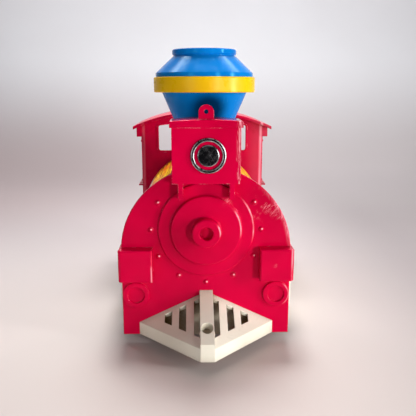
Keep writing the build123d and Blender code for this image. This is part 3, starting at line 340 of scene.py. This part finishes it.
def metal(name, base, rough, grain_along, stained=linear(120, 110, 95), stain=0.25):
    """Drawn or rolled metal with fine lines along its length and a little staining."""
    paint = Paint(name, Metallic=1.0)
    soft, corner = paint.edges(0.25 * MM)
    lines = paint.noise(160.0, 3.0, 0.6, at=paint.moved(grain_along))
    blotches = paint.noise(70.0, 4.0, 0.6).ramp(0.50, 0.72) * stain
    tone = paint.mix(lines.ramp(0.3, 0.7) * 0.3, base, tuple(0.6 * channel for channel in base[:3]) + (1.0,))
    tone = paint.mix(blotches, tone, stained)
    gloss = lines.ramp(0.3, 0.7, rough * 0.7, rough * 1.4) + blotches * 0.5 - corner * 0.05
    paint.set(Base_Color=tone, Roughness=gloss, Normal=paint.bump(lines, 0.2, 0.02 * MM, soft))
    return paint.material


steel = metal("drawn_steel", linear(196, 197, 200), 0.28, (0.06, 1.0, 1.0))
zinc = metal("zinc_plated_steel", linear(206, 208, 206), 0.34, (0.15, 1.0, 1.0), linear(150, 148, 130), 0.4)
dress(zinc, "chassis_screws")

# ------------------------------------------------------------------ axles and their bushes
# Drawn steel axles turn in flanged nylon bushes, pressed into both walls of the chassis.
# The nylon is left its natural milky colour and has a soft sheen.


def nylon(name, body, shadow, rough=0.42):
    """Unpainted nylon: slightly see-through, so it gets a little inner scatter."""
    paint = Paint(name, IOR=1.53, Subsurface_Weight=0.12, Subsurface_Scale=1.2 * MM)
    soft, corner = paint.edges(0.3 * MM)
    clouds = paint.noise(90.0, 3.0, 0.55)
    grease = paint.noise(48.0, 4.0, 0.65).ramp(0.55, 0.75)
    tone = paint.mix(clouds.ramp(0.3, 0.7), shadow, body)
    tone = paint.mix(grease * 0.35, tone, linear(132, 118, 84))
    paint.set(Base_Color=paint.mix(corner * 0.4, tone, linear(250, 248, 240)))
    paint.set(Roughness=clouds.ramp(0.3, 0.7, rough * 0.8, rough * 1.2) - grease * 0.15)
    paint.set(Normal=paint.bump(paint.noise(700.0, 2.0), 0.12, 0.04 * MM, soft))
    return paint.material


natural = nylon("natural_nylon", linear(232, 230, 220), linear(214, 210, 196))
dress(natural, "axle_bushes")
dress(steel, "front_axle", "rear_axle")

# ------------------------------------------------------------------ motor and gears
# A small can motor drives the rear axle through two steps of nylon gears on a steel shaft.
# The whole train stands on one nylon bracket that is screwed into the tub.
dress(natural, "gearbox_frame", "motor_end_cap")
dress(nylon("gear_nylon", linear(226, 222, 206), linear(200, 194, 174), 0.34), "axle_gear", "idler_gear")
dress(nylon("pinion_nylon", linear(236, 236, 230), linear(210, 208, 198), 0.3), "motor_pinion")
dress(steel, "idler_shaft", "motor_rotor")
dress(zinc, "motor_can")

# ------------------------------------------------------------------ cells and contacts
# Two C cells lie side by side in plain lacquered jackets, dark with a copper-coloured head.
# Nickelled brass strips join them at both ends.
jacket = Paint("cell_jacket", Metallic=0.6, Coat_Weight=0.6, Coat_Roughness=0.08)
cell_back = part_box("battery_cell_left")[1].y
along = jacket.axis("Y")
head = along.ramp(cell_back - 16 * MM, cell_back - 15.5 * MM)
ends = along.ramp(cell_back - 2.6 * MM, cell_back - 2.4 * MM)
rub = jacket.noise(120.0, 4.0, 0.6).ramp(0.55, 0.7)
sleeve = jacket.mix(head, linear(24, 26, 34), linear(176, 104, 44))
sleeve = jacket.mix(ends, sleeve, linear(190, 190, 188))
jacket.set(Base_Color=jacket.mix(rub * 0.25, sleeve, linear(150, 150, 150)))
jacket.set(Roughness=jacket.noise(60.0, 4.0).ramp(0.3, 0.7, 0.22, 0.42))
dress(jacket.material, "battery_cell_left", "battery_cell_right")
brass = metal("nickelled_brass", linear(206, 188, 128), 0.3, (0.1, 1.0, 1.0), linear(120, 92, 50))
dress(brass, "battery_contacts")

# ------------------------------------------------------------------ battery door
# A black cover slides into the bottom of the tub. Half-round ribs across it give the
# thumb a grip to push it open.
door_plastic = moulded(
    "door_moulding", linear(20, 20, 22), linear(34, 34, 37), linear(112, 110, 108), rough=0.36, hair=0.8
)
dress(door_plastic, "battery_door")


class Pattern(Bench):
    """A geometry node tree with named inputs, and the object that it makes."""

    SOCKETS = {float: "NodeSocketFloat", int: "NodeSocketInt", Vector: "NodeSocketVector"}

    def __init__(self, name, **samples):
        super().__init__(bpy.data.node_groups.new(name, "GeometryNodeTree"))
        face = self.tree.interface
        face.new_socket(name="Geometry", in_out="INPUT", socket_type="NodeSocketGeometry")
        face.new_socket(name="Geometry", in_out="OUTPUT", socket_type="NodeSocketGeometry")
        self.inputs = {}
        for key, kind in samples.items():
            made = face.new_socket(name=key, in_out="INPUT", socket_type=self.SOCKETS[kind])
            self.inputs[key] = made.identifier
        finish_socket = face.new_socket(name="Finish", in_out="INPUT", socket_type="NodeSocketMaterial")
        self.inputs["Finish"] = finish_socket.identifier
        self.given = self.tree.nodes.new("NodeGroupInput")

    def value(self, key):
        return Signal(self, self.given.outputs[key])

    def close(self, geometry, smooth=True):
        """Realize, smooth, paint and hand out the geometry."""
        solid = self.node("GeometryNodeRealizeInstances", {}, {0: geometry})
        if smooth:
            solid = self.node("GeometryNodeSetShadeSmooth", {}, {0: solid})
        finish = self.value("Finish")
        painted = self.node("GeometryNodeSetMaterial", {}, {"Geometry": solid, "Material": finish})
        self.feed(self.tree.nodes.new("NodeGroupOutput").inputs[0], painted)

    def make(self, name, body, slot, finish, base=None, **values):
        """Run the tree on a base mesh and keep the result as a plain mesh on one body."""
        seed = bpy.data.objects.new(name + "_seed", base or bpy.data.meshes.new(name + "_seed"))
        scene.collection.objects.link(seed)
        modifier = seed.modifiers.new("pattern", "NODES")
        modifier.node_group = self.tree
        for key, value in values.items():
            modifier[self.inputs[key]] = value
        modifier[self.inputs["Finish"]] = finish
        graph = bpy.context.evaluated_depsgraph_get()
        mesh = bpy.data.meshes.new_from_object(seed.evaluated_get(graph))
        seed.modifiers.clear()
        bpy.data.objects.remove(seed)
        mesh.name = name
        thing = make_object(name, mesh, body)
        return thing


ribs = Pattern("grip_ribs", Count=int, Start=Vector, Step=Vector, Length=float, Radius=float)
rib_line = ribs.node(
    "GeometryNodeMeshLine",
    {"mode": "OFFSET"},
    {"Count": ribs.value("Count"), "Start Location": ribs.value("Start"), "Offset": ribs.value("Step")},
)
rib_bar = ribs.node(
    "GeometryNodeMeshCylinder", {},
    {"Vertices": 20, "Radius": ribs.value("Radius"), "Depth": ribs.value("Length")},
)
rib_bar = ribs.node("GeometryNodeTransform", {}, {"Geometry": rib_bar, "Rotation": (0, math.radians(90), 0)})
rib_rows = ribs.node("GeometryNodeInstanceOnPoints", {}, {"Points": rib_line, "Instance": rib_bar})
ribs.close(rib_rows, smooth=False)

door_low, door_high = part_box("battery_door")
rib_pitch = 2.6 * MM
ribs.make(
    "door_grip_ribs", "door", "black_plastic", door_plastic,
    Count=9, Start=(0, door_low.y + 18 * MM, door_high.z - 1.7 * MM), Step=(0, rib_pitch, 0),
    Length=30 * MM, Radius=0.7 * MM,
)

# ------------------------------------------------------------------ switch
# The slide switch sits under the deck at the back of the cab. Its yellow knob comes up
# through a slot in the deck and has three ridges for a fingertip.
bakelite = moulded("switch_moulding", linear(22, 20, 20), linear(36, 33, 32), linear(96, 92, 88), rough=0.45)
dress(bakelite, "switch_body")
sunny = {"deep": linear(236, 188, 6), "body": linear(250, 206, 10), "worn_and_painted_light": linear(255, 246, 190)}
yellow_tint = (1.0, 0.86, 0.5, 1.0)
knob_plastic = moulded("knob_moulding", tint=yellow_tint, rough=0.24, hair=0.6, **sunny)
dress(knob_plastic, "switch_knob")
knob_low, knob_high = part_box("switch_knob")
ribs.make(
    "knob_ridges", "switch", "switch_yellow", knob_plastic,
    Count=3, Start=((knob_low.x + knob_high.x) / 2, knob_low.y + 2.0 * MM, knob_high.z - 0.1 * MM),
    Step=(0, 1.5 * MM, 0), Length=4.4 * MM, Radius=0.4 * MM,
)

# ------------------------------------------------------------------ deck and boiler
# The red deck runs the length of the locomotive, and the half-round boiler is glued to it.
# A strap with round heads is moulded over each flank in front of the labels.
# The pale pink serves for wear and for painted highlights.
crimson = {"deep": linear(188, 0, 50), "body": linear(214, 0, 60), "worn_and_painted_light": linear(255, 176, 190)}
red_tint = (1.0, 0.16, 0.30, 1.0)
red = moulded("crimson_moulding", tint=red_tint, rough=0.17, hair=0.1, **crimson)
dress(red, "running_board", "boiler_shell")

heads = Pattern("round_heads", Radius=float, Height=float)
head_dome = heads.node("GeometryNodeMeshUVSphere", {}, {"Segments": 18, "Rings": 10, "Radius": 1.0})
head_scale = heads.node(
    "ShaderNodeCombineXYZ", {}, {0: heads.value("Radius"), 1: heads.value("Radius"), 2: heads.value("Height")}
)
head_dome = heads.node("GeometryNodeTransform", {}, {"Geometry": head_dome, "Scale": head_scale})
facing = heads.node("GeometryNodeInputNamedAttribute", {"data_type": "FLOAT_VECTOR"}, {"Name": "facing"})
head_turn = heads.node("FunctionNodeAlignRotationToVector", {"axis": "Z"}, {"Vector": facing})
head_rows = heads.node(
    "GeometryNodeInstanceOnPoints", {},
    {"Points": heads.value("Geometry"), "Instance": head_dome, "Rotation": head_turn},
)
heads.close(head_rows)


def marked_spots(name, spots):
    """Loose points with the direction that a head on each of them faces."""
    mesh = bpy.data.meshes.new(name)
    mesh.from_pydata([place for place, _ in spots], [], [])
    facings = mesh.attributes.new("facing", "FLOAT_VECTOR", "POINT")
    for item, (_, direction) in zip(facings.data, spots):
        item.vector = direction
    return mesh


boiler_low, boiler_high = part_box("boiler_shell")
boiler_radius = boiler_high.x
boiler_axis = Vector((0, 0, boiler_high.z - boiler_radius))
strap_height = 0.7 * MM
strap_width = 4.0 * MM
strap_y = boiler_low.y + 28.5 * MM
strap_sunk = 0.4 * MM
strap_from, strap_sweep, strap_steps = 30, 60, 40
strap_head_angles = range(36, 86, 8)


def on_boiler(angle, radius, y):
    """Point on a circle about the boiler's axis, the angle counted from the top."""
    return Vector((radius * math.sin(angle), y, boiler_axis.z + radius * math.cos(angle)))


strap_spots = []
strap_mesh = bpy.data.meshes.new("boiler_straps")
straps = bmesh.new()
for _, sign in SIDES:
    rings = []
    for step in range(strap_steps + 1):
        angle = math.radians(sign * (strap_from + strap_sweep * step / strap_steps))
        inner, outer = boiler_radius - strap_sunk, boiler_radius + strap_height
        corners = ((inner, -0.5), (outer, -0.5), (outer, 0.5), (inner, 0.5))
        ring = [on_boiler(angle, radius, strap_y + share * strap_width) for radius, share in corners]
        rings.append([straps.verts.new(corner) for corner in ring])
    for ring, following in zip(rings, rings[1:]):
        for here in range(4):
            there = (here + 1) % 4
            straps.faces.new((ring[here], ring[there], following[there], following[here]))
    straps.faces.new(rings[0])
    straps.faces.new(tuple(reversed(rings[-1])))
    for degrees in strap_head_angles:
        angle = math.radians(sign * degrees)
        outward = on_boiler(angle, 1.0, 0) - boiler_axis
        strap_spots.append((on_boiler(angle, boiler_radius + strap_height, strap_y), outward))
bmesh.ops.recalc_face_normals(straps, faces=straps.faces)
straps.to_mesh(strap_mesh)
straps.free()
strap_mesh.materials.append(red)
boiler_straps = make_object("boiler_straps", strap_mesh, "locomotive")
heads.make(
    "boiler_strap_heads", "locomotive", "red_plastic", red,
    base=marked_spots("strap_spots", strap_spots), Radius=1.0 * MM, Height=0.7 * MM,
)

# ------------------------------------------------------------------ printed labels
# Varnished paper labels on both flanks, printed as yellow boards with brown and orange
# streaks; a pinkish-grey band runs along their lower edge.
label = Paint("printed_label", Specular_IOR_Level=0.2, Specular_Tint=(1.0, 0.8, 0.5, 1.0))
boards = label.noise(130.0, 3.0, 0.65, at=label.moved((1.0, 0.05, 1.0)))
streaks = label.noise(420.0, 2.0, 0.6, at=label.moved((1.0, 0.03, 1.0)))
patches = label.noise(60.0, 4.0, 0.6, at=label.moved((1.0, 0.45, 1.0), shift=(4.0, 0, 1.0)), Distortion=0.8)
print_tone = label.mix(boards.ramp(0.38, 0.62), linear(236, 150, 10), linear(255, 216, 30))
print_tone = label.mix(streaks.ramp(0.53, 0.60) * 0.85, print_tone, linear(128, 56, 20))
print_tone = label.mix(patches.ramp(0.50, 0.57) * 0.8, print_tone, linear(206, 84, 24))
print_tone = label.mix(streaks.ramp(0.34, 0.26) * 0.6, print_tone, linear(255, 240, 160))
band_top = boiler_axis.z + 0.60 * boiler_radius
lower = label.axis("Z").ramp(band_top, band_top - 2.0 * MM)
pinkish_grey_band = label.mix(streaks.ramp(0.4, 0.6), linear(190, 150, 150), linear(222, 196, 196))
label.set(Base_Color=label.mix(lower, print_tone, pinkish_grey_band))
label.set(Roughness=label.noise(90.0, 4.0).ramp(0.3, 0.7, 0.30, 0.46))
label.set(Normal=label.bump(streaks, 0.15, 0.03 * MM))
dress(label.material, "boiler_label_left", "boiler_label_right")

# ------------------------------------------------------------------ smokebox plate and boxes
# The front plate with its raised door, round heads and cylinder heads is one moulding.
# It is the most handled face, so it carries the most hair marks, high on its right, and painted
# highlights on the crests of its round heads and on the right of its rims.
plate_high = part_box("smokebox_front")[1]
door_height = 88.6 * MM
door_middle = Vector((0, flange_face, door_height))
door_rims = (34.2 * MM, 24.9 * MM, 9.7 * MM)
head_ring = 40.0 * MM
head_angles = range(150, 391, 30)
cylinder_x, cylinder_z, cylinder_rim = 51.8 * MM, 39.0 * MM, 9.3 * MM
arch_scratches = ((46 * MM, flange_face, 106 * MM), 20 * MM)
door_scratches = ((14 * MM, flange_face, 108 * MM), 6 * MM)


def plate_highlights_and_hairs(paint):
    """Painted highlights: glints on the crests of the round heads, and light on the right of the door's
    rims, of the right cylinder head and of the arch, where hair marks also run.
    """
    painted_highlights = None
    for degrees in head_angles:
        turn = math.radians(degrees)
        crest = door_middle + Vector((head_ring * math.cos(turn), -1.3 * MM, head_ring * math.sin(turn)))
        dot = paint.near(crest + Vector((0.55 * MM, 0, 0.45 * MM)), 0.9 * MM)
        painted_highlights = dot if painted_highlights is None else painted_highlights.either(dot)
    away = paint.around(0, door_height)
    beside = paint.axis("X")
    above = paint.axis("Z") - door_height
    ragged = paint.noise(420.0, 3.0, 0.6, at=paint.moved((1.0, 1.0, 0.25))).ramp(0.30, 0.62, 0.25, 1.0)
    # Painted highlight on the right of each door rim.
    for rim in door_rims:
        window = beside.ramp(rim * 0.70, rim * 0.93) * (above / rim).distance(0.25).ramp(0.55, 0.20)
        painted_highlights = painted_highlights.either(away.distance(rim).ramp(0.75 * MM, 0.2 * MM) * window * ragged * 0.8)
    # Painted highlight on the right cylinder head's rim.
    head_rim = paint.around(cylinder_x, cylinder_z).distance(cylinder_rim).ramp(0.7 * MM, 0.15 * MM)
    head_rim = head_rim * beside.ramp(56 * MM, 60 * MM)
    painted_highlights = painted_highlights.either(head_rim * ragged * 0.6)
    # Painted highlight, with hair marks, on the right of the arch's outer edge.
    arch_z = plate_high.z - plate_high.x
    outer = paint.around(0, arch_z).ramp(plate_high.x - 3.5 * MM, plate_high.x - 0.5 * MM)
    edge_band = outer * beside.ramp(36 * MM, 54 * MM) * paint.axis("Z").ramp(arch_z, arch_z + 8 * MM)
    hairline = paint.hairs((160.0, 1.0, 8.0), (0.0, 0.15, 0.0), 0.06, 6.1)
    return painted_highlights.either(edge_band * (hairline * 0.6 + 0.1))


plate_paint = moulded(
    "plate_moulding", tint=red_tint, rough=0.15, rubs_and_painted_light=plate_highlights_and_hairs, marks_at=(arch_scratches, door_scratches),
    **crimson,
)
dress(plate_paint, "smokebox_front")

box_low, box_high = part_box("cylinder_box_right")
left_box_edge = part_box("cylinder_box_left")[1].x
box_scratch = ((49 * MM, box_low.y, 64 * MM), 2.6 * MM)


def box_edge_highlights(paint):
    """Painted highlight: a broken pale line down the right edge of each box's front."""
    broken = paint.noise(140.0, 3.0, 0.6, at=paint.moved((1.0, 1.0, 0.3))).ramp(0.34, 0.56)
    front = paint.axis("Y").ramp(box_low.y + 2.5 * MM, box_low.y + 1.2 * MM)
    left_line = paint.axis("X").distance(left_box_edge - 0.7 * MM).ramp(0.7 * MM, 0.15 * MM)
    right_line = paint.axis("X").distance(box_high.x - 1.6 * MM).ramp(1.0 * MM, 0.15 * MM)
    return left_line.either(right_line) * broken * front * 0.6


box_paint = moulded(
    "box_moulding", tint=red_tint, rough=0.16, hair=0.1, wear=1.0, rubs_and_painted_light=box_edge_highlights, marks_at=(box_scratch,),
    **crimson,
)
dress(box_paint, "cylinder_box_left", "cylinder_box_right")

# ------------------------------------------------------------------ cab and roof
# A red cab, open behind, with two front windows, and an arched roof that snaps on.
# Round heads are moulded along both side walls over and under the belt.
cab_low, cab_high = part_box("cab_shell")
cab_wall_x = 59.5 * MM
cab_head_heights = (82 * MM, 99 * MM, 138 * MM)
cab_heads_in_row = 9
cab_head_first = cab_low.y + 6 * MM
cab_head_pitch = (cab_high.y - cab_low.y - 10 * MM) / (cab_heads_in_row - 1)


def cab_corner_highlights(paint):
    """Painted highlights: upright pale streaks on the rounded corners in front, stronger on the right,
    and a faint painted sheen over the right of the front.
    """
    corner = paint.axis("X").distance(0.0).distance(cab_wall_x - 2.6 * MM).ramp(1.9 * MM, 0.4 * MM)
    front = paint.axis("Y").ramp(cab_low.y + 5 * MM, cab_low.y + 3 * MM)
    right = paint.axis("X").ramp(0.0, 10 * MM, 0.15, 0.5)
    painted_sheen = paint.axis("X").ramp(40 * MM, 54 * MM, 0.0, 0.07) * front
    streaks = paint.noise(120.0, 3.0, at=paint.moved((1.0, 1.0, 0.12))).ramp(0.2, 0.6)
    return painted_sheen + corner * front * right * 1.3 * streaks


cab_paint = moulded("cab_moulding", tint=red_tint, rough=0.32, hair=0.1, wear=1.2, rubs_and_painted_light=cab_corner_highlights, **crimson)
dress(cab_paint, "cab_shell", "cab_roof")
cab_spots = []
for _, sign in SIDES:
    for height in cab_head_heights:
        for count in range(cab_heads_in_row):
            place = (sign * cab_wall_x, cab_head_first + count * cab_head_pitch, height)
            cab_spots.append((place, (sign, 0, 0)))
heads.make(
    "cab_side_heads", "locomotive", "red_plastic", cab_paint,
    base=marked_spots("cab_spots", cab_spots), Radius=1.2 * MM, Height=0.8 * MM,
)

# ------------------------------------------------------------------ smokestack and dome
# A diamond stack of two blue mouldings with a loose yellow band between them, and a blue
# steam dome. A painted shadow darkens the lower stack, behind the lamp's tab.
azure = {"deep": linear(4, 118, 200), "body": linear(8, 134, 222), "worn_and_painted_light": linear(186, 226, 252)}
blue_tint = (0.10, 0.72, 1.0, 1.0)
stack_paint = moulded("blue_moulding", tint=blue_tint, rough=0.15, hair=0.1, wear=0.2, shine=0.22, **azure)
dress(stack_paint, "stack_upper", "steam_dome")
behind_tab = (2.5 * MM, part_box("stack_lower")[0].y + 7 * MM, 174 * MM)
painted_shadow_radius = 18 * MM


def stack_painted_shadow(paint):
    """Painted shadow in the corner behind the lamp's tab."""
    return paint.near(behind_tab, painted_shadow_radius) * 0.93


# Dark navy of the painted shadow.
painted_shadow_navy = linear(0, 26, 56)
lower_paint = moulded(
    "lower_blue_moulding", azure["deep"], azure["body"], painted_shadow_navy,
    tint=blue_tint, rough=0.22, wear=0.2, shine=0.12, rubs_and_painted_light=stack_painted_shadow,
)
dress(lower_paint, "stack_lower")
band_paint = moulded("band_moulding", tint=yellow_tint, rough=0.3, hair=0.5, wear=0.4, **sunny)
dress(band_paint, "stack_band")

# ------------------------------------------------------------------ headlamp
# The lamp box is glued over the door; a chromed ring and a dark mirror foil disc are
# stamped on its front, with painted highlights on their rims. Its right edge carries a broken
# white line of painted highlight.
lamp_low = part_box("headlamp_box")[0]
box_edge = 24.0 * MM


def lamp_hairs_and_highlight(paint):
    """Upright hair marks beside the box's right edge, and a broken white line of painted highlight on the
    edge.
    """
    side = paint.axis("X")
    upright = paint.hairs((150.0, 1.0, 7.0), (0.0, 0.12, 0.0), 0.05, 2.4)
    band = side.ramp(box_edge - 4.0 * MM, box_edge - 2.0 * MM) * paint.noise(60.0, 3.0, 0.6).ramp(0.38, 0.50)
    line = side.distance(box_edge - 1.3 * MM).ramp(0.55 * MM, 0.15 * MM)
    broken = paint.noise(200.0, 3.0, 0.6, at=paint.moved((1.0, 1.0, 0.3))).ramp(0.36, 0.50)
    front = paint.axis("Y").ramp(lamp_low.y + 4.5 * MM, lamp_low.y + 3.0 * MM)
    return (band * upright * 0.8).either(line * broken * 0.85) * front


lamp_paint = moulded("lamp_moulding", tint=red_tint, rough=0.17, wear=1.6, rubs_and_painted_light=lamp_hairs_and_highlight, **crimson)
dress(lamp_paint, "headlamp_box")

ring_low, ring_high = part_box("headlamp_ring")
lamp_middle = (ring_low + ring_high) / 2


def stamped(name, base, rough, hair_share, pale_foil_and_highlight, rims):
    """Hot-stamped foil: dark mirror with fine scratches, and painted highlights along its edges and rims."""
    paint = Paint(name, Metallic=1.0)
    soft, corner = paint.edges(0.45 * MM)
    marks = paint.hairs((200.0, 1.0, 14.0), (0.0, 0.6, 0.0), 0.035, 5.0)
    for turn, seed in ((2.2, 9.0), (-0.5, 2.0), (1.3, 4.0)):
        marks = marks.either(paint.hairs((200.0, 1.0, 18.0), (0.0, turn, 0.0), 0.035, seed))
    cloudy = paint.noise(420.0, 4.0, 0.6).ramp(0.42, 0.66)
    # Pale scratches, and painted highlight on the sharp edges.
    pale = (marks * cloudy * hair_share).either(corner * 0.6)
    away = paint.around(lamp_middle.x, lamp_middle.z)
    patchy = paint.noise(150.0, 3.0, 0.6).ramp(0.36, 0.60, 0.15, 1.0)
    # Painted highlights: thin bright lines along the rims, broken up.
    for rim in rims:
        pale = pale.either(away.distance(rim).ramp(0.55 * MM, 0.10 * MM) * patchy * 0.75)
    paint.set(Base_Color=paint.mix(pale, base, pale_foil_and_highlight))
    paint.set(Roughness=rough + pale * 0.35)
    paint.set(Normal=paint.bump(paint.noise(420.0, 3.0) - marks * 0.5, 0.16, 0.05 * MM, soft))
    return paint.material


chrome = stamped("chrome_foil", linear(40, 36, 40), 0.16, 0.35, linear(244, 244, 248), (11.9 * MM, 10.1 * MM))
mirror = stamped("mirror_foil", linear(44, 45, 50), 0.14, 0.35, linear(226, 226, 230), (7.2 * MM,))
dress(chrome, "headlamp_ring")
dress(mirror, "headlamp_mirror")

# ------------------------------------------------------------------ cowcatcher
# A cream moulding pegged into the front of the chassis. The plastic has gone slightly
# yellow, and its slots show the bare inside of the hollow moulding; painted shade darkens its hollows.
ivory = {"deep": linear(228, 220, 202), "body": linear(242, 238, 222), "worn_and_painted_light": linear(255, 252, 240)}
ivory.update(rough=0.36, hair=0.12, wear=0.25, round_by=0.4)
# The peg's recess is left out of the painted shade.
recess = (0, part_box("pilot")[0].y + 9 * MM, 22 * MM)
recess_unshaded_radius = 12 * MM
pilot_paint = moulded(
    "pilot_moulding", painted_hollow_shade=linear(120, 92, 48), left_unshaded=(recess, recess_unshaded_radius), **ivory
)
dress(pilot_paint, "pilot")

# ------------------------------------------------------------------ wheels, tyres and rods
# Cream spoked wheels are pressed on the axles. The rear pair wears ribbed rubber tyres,
# and yellow rods hang on riveted crank pins.
cream = moulded("cream_moulding", **ivory)
dress(cream, "front_wheel_left", "front_wheel_right", "rear_wheel_left", "rear_wheel_right")
rod_paint = moulded("rod_moulding", tint=yellow_tint, rough=0.22, hair=0.8, wear=0.6, **sunny)
dress(rod_paint, "side_rod_left", "side_rod_right")
dress(zinc, "front_crank_pins", "rear_crank_pins")

rubber = Paint("tyre_rubber", Specular_IOR_Level=0.25, IOR=1.5)
bloom = rubber.noise(55.0, 4.0, 0.6).ramp(0.4, 0.7)
rubber_soft, rubber_corner = rubber.edges(0.3 * MM)
rubber_tone = rubber.mix(bloom, linear(24, 24, 25), linear(46, 45, 44))
rubber.set(Base_Color=rubber.mix(rubber_corner * 0.5, rubber_tone, linear(86, 82, 78)))
rubber.set(Roughness=bloom * 0.12 + 0.62)
rubber.set(Normal=rubber.bump(rubber.noise(520.0, 3.0), 0.4, 0.08 * MM, rubber_soft))

tyres = Pattern("ribbed_tyre", Radius=float, Width=float, Wall=float, Ribs=int, Centre=Vector)
tread = 0.55 * MM
tyre_ring = tyres.node(
    "GeometryNodeCurvePrimitiveCircle", {"mode": "RADIUS"},
    {"Resolution": 120, "Radius": tyres.value("Radius") - tread - tyres.value("Wall") * 0.5},
)
tyre_section = tyres.node(
    "GeometryNodeCurvePrimitiveQuadrilateral", {"mode": "RECTANGLE"},
    {"Width": tyres.value("Wall"), "Height": tyres.value("Width")},
)
tyre_ring = tyres.node("GeometryNodeCurveToMesh", {}, {"Curve": tyre_ring, "Profile Curve": tyre_section})
rib_circle = tyres.node(
    "GeometryNodeMeshCircle", {},
    {"Vertices": tyres.value("Ribs"), "Radius": tyres.value("Radius") - tread},
)
rib_size = tyres.node(
    "ShaderNodeCombineXYZ", {}, {0: 2 * tread * 0.98, 1: 1.5 * MM, 2: tyres.value("Width") * 0.92}
)
rib_block = tyres.node("GeometryNodeMeshCube", {}, {"Size": rib_size})
outward = tyres.node("GeometryNodeInputPosition")
rib_turn = tyres.node("FunctionNodeAlignRotationToVector", {"axis": "X"}, {"Vector": outward})
rib_ring = tyres.node(
    "GeometryNodeInstanceOnPoints", {}, {"Points": rib_circle, "Instance": rib_block, "Rotation": rib_turn}
)
whole_tyre = tyres.tree.nodes.new("GeometryNodeJoinGeometry")
tyres.feed(whole_tyre.inputs[0], tyre_ring)
tyres.feed(whole_tyre.inputs[0], rib_ring)
upright = tyres.node(
    "GeometryNodeTransform", {},
    {"Geometry": Signal(tyres, whole_tyre.outputs[0]), "Rotation": (0, math.radians(90), 0),
     "Translation": tyres.value("Centre")},
)
tyres.close(upright, smooth=False)
for side, _ in SIDES:
    low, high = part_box(f"traction_tyre_{side}")
    tyre = tyres.make(
        f"ribbed_tyre_{side}", "rear_wheelset", "tyre_rubber", rubber.material,
        Radius=(high.z - low.z) / 2, Width=high.x - low.x, Wall=1.2 * MM, Ribs=72,
        Centre=tuple((low + high) / 2),
    )
    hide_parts(f"traction_tyre_{side}")

# ------------------------------------------------------------------ rear coupler
# A black hook swings on a riveted pin behind the chassis, and an eye in it takes the peg
# of the next carriage.
dress(black, "coupler_hook")
dress(zinc, "coupler_pin")
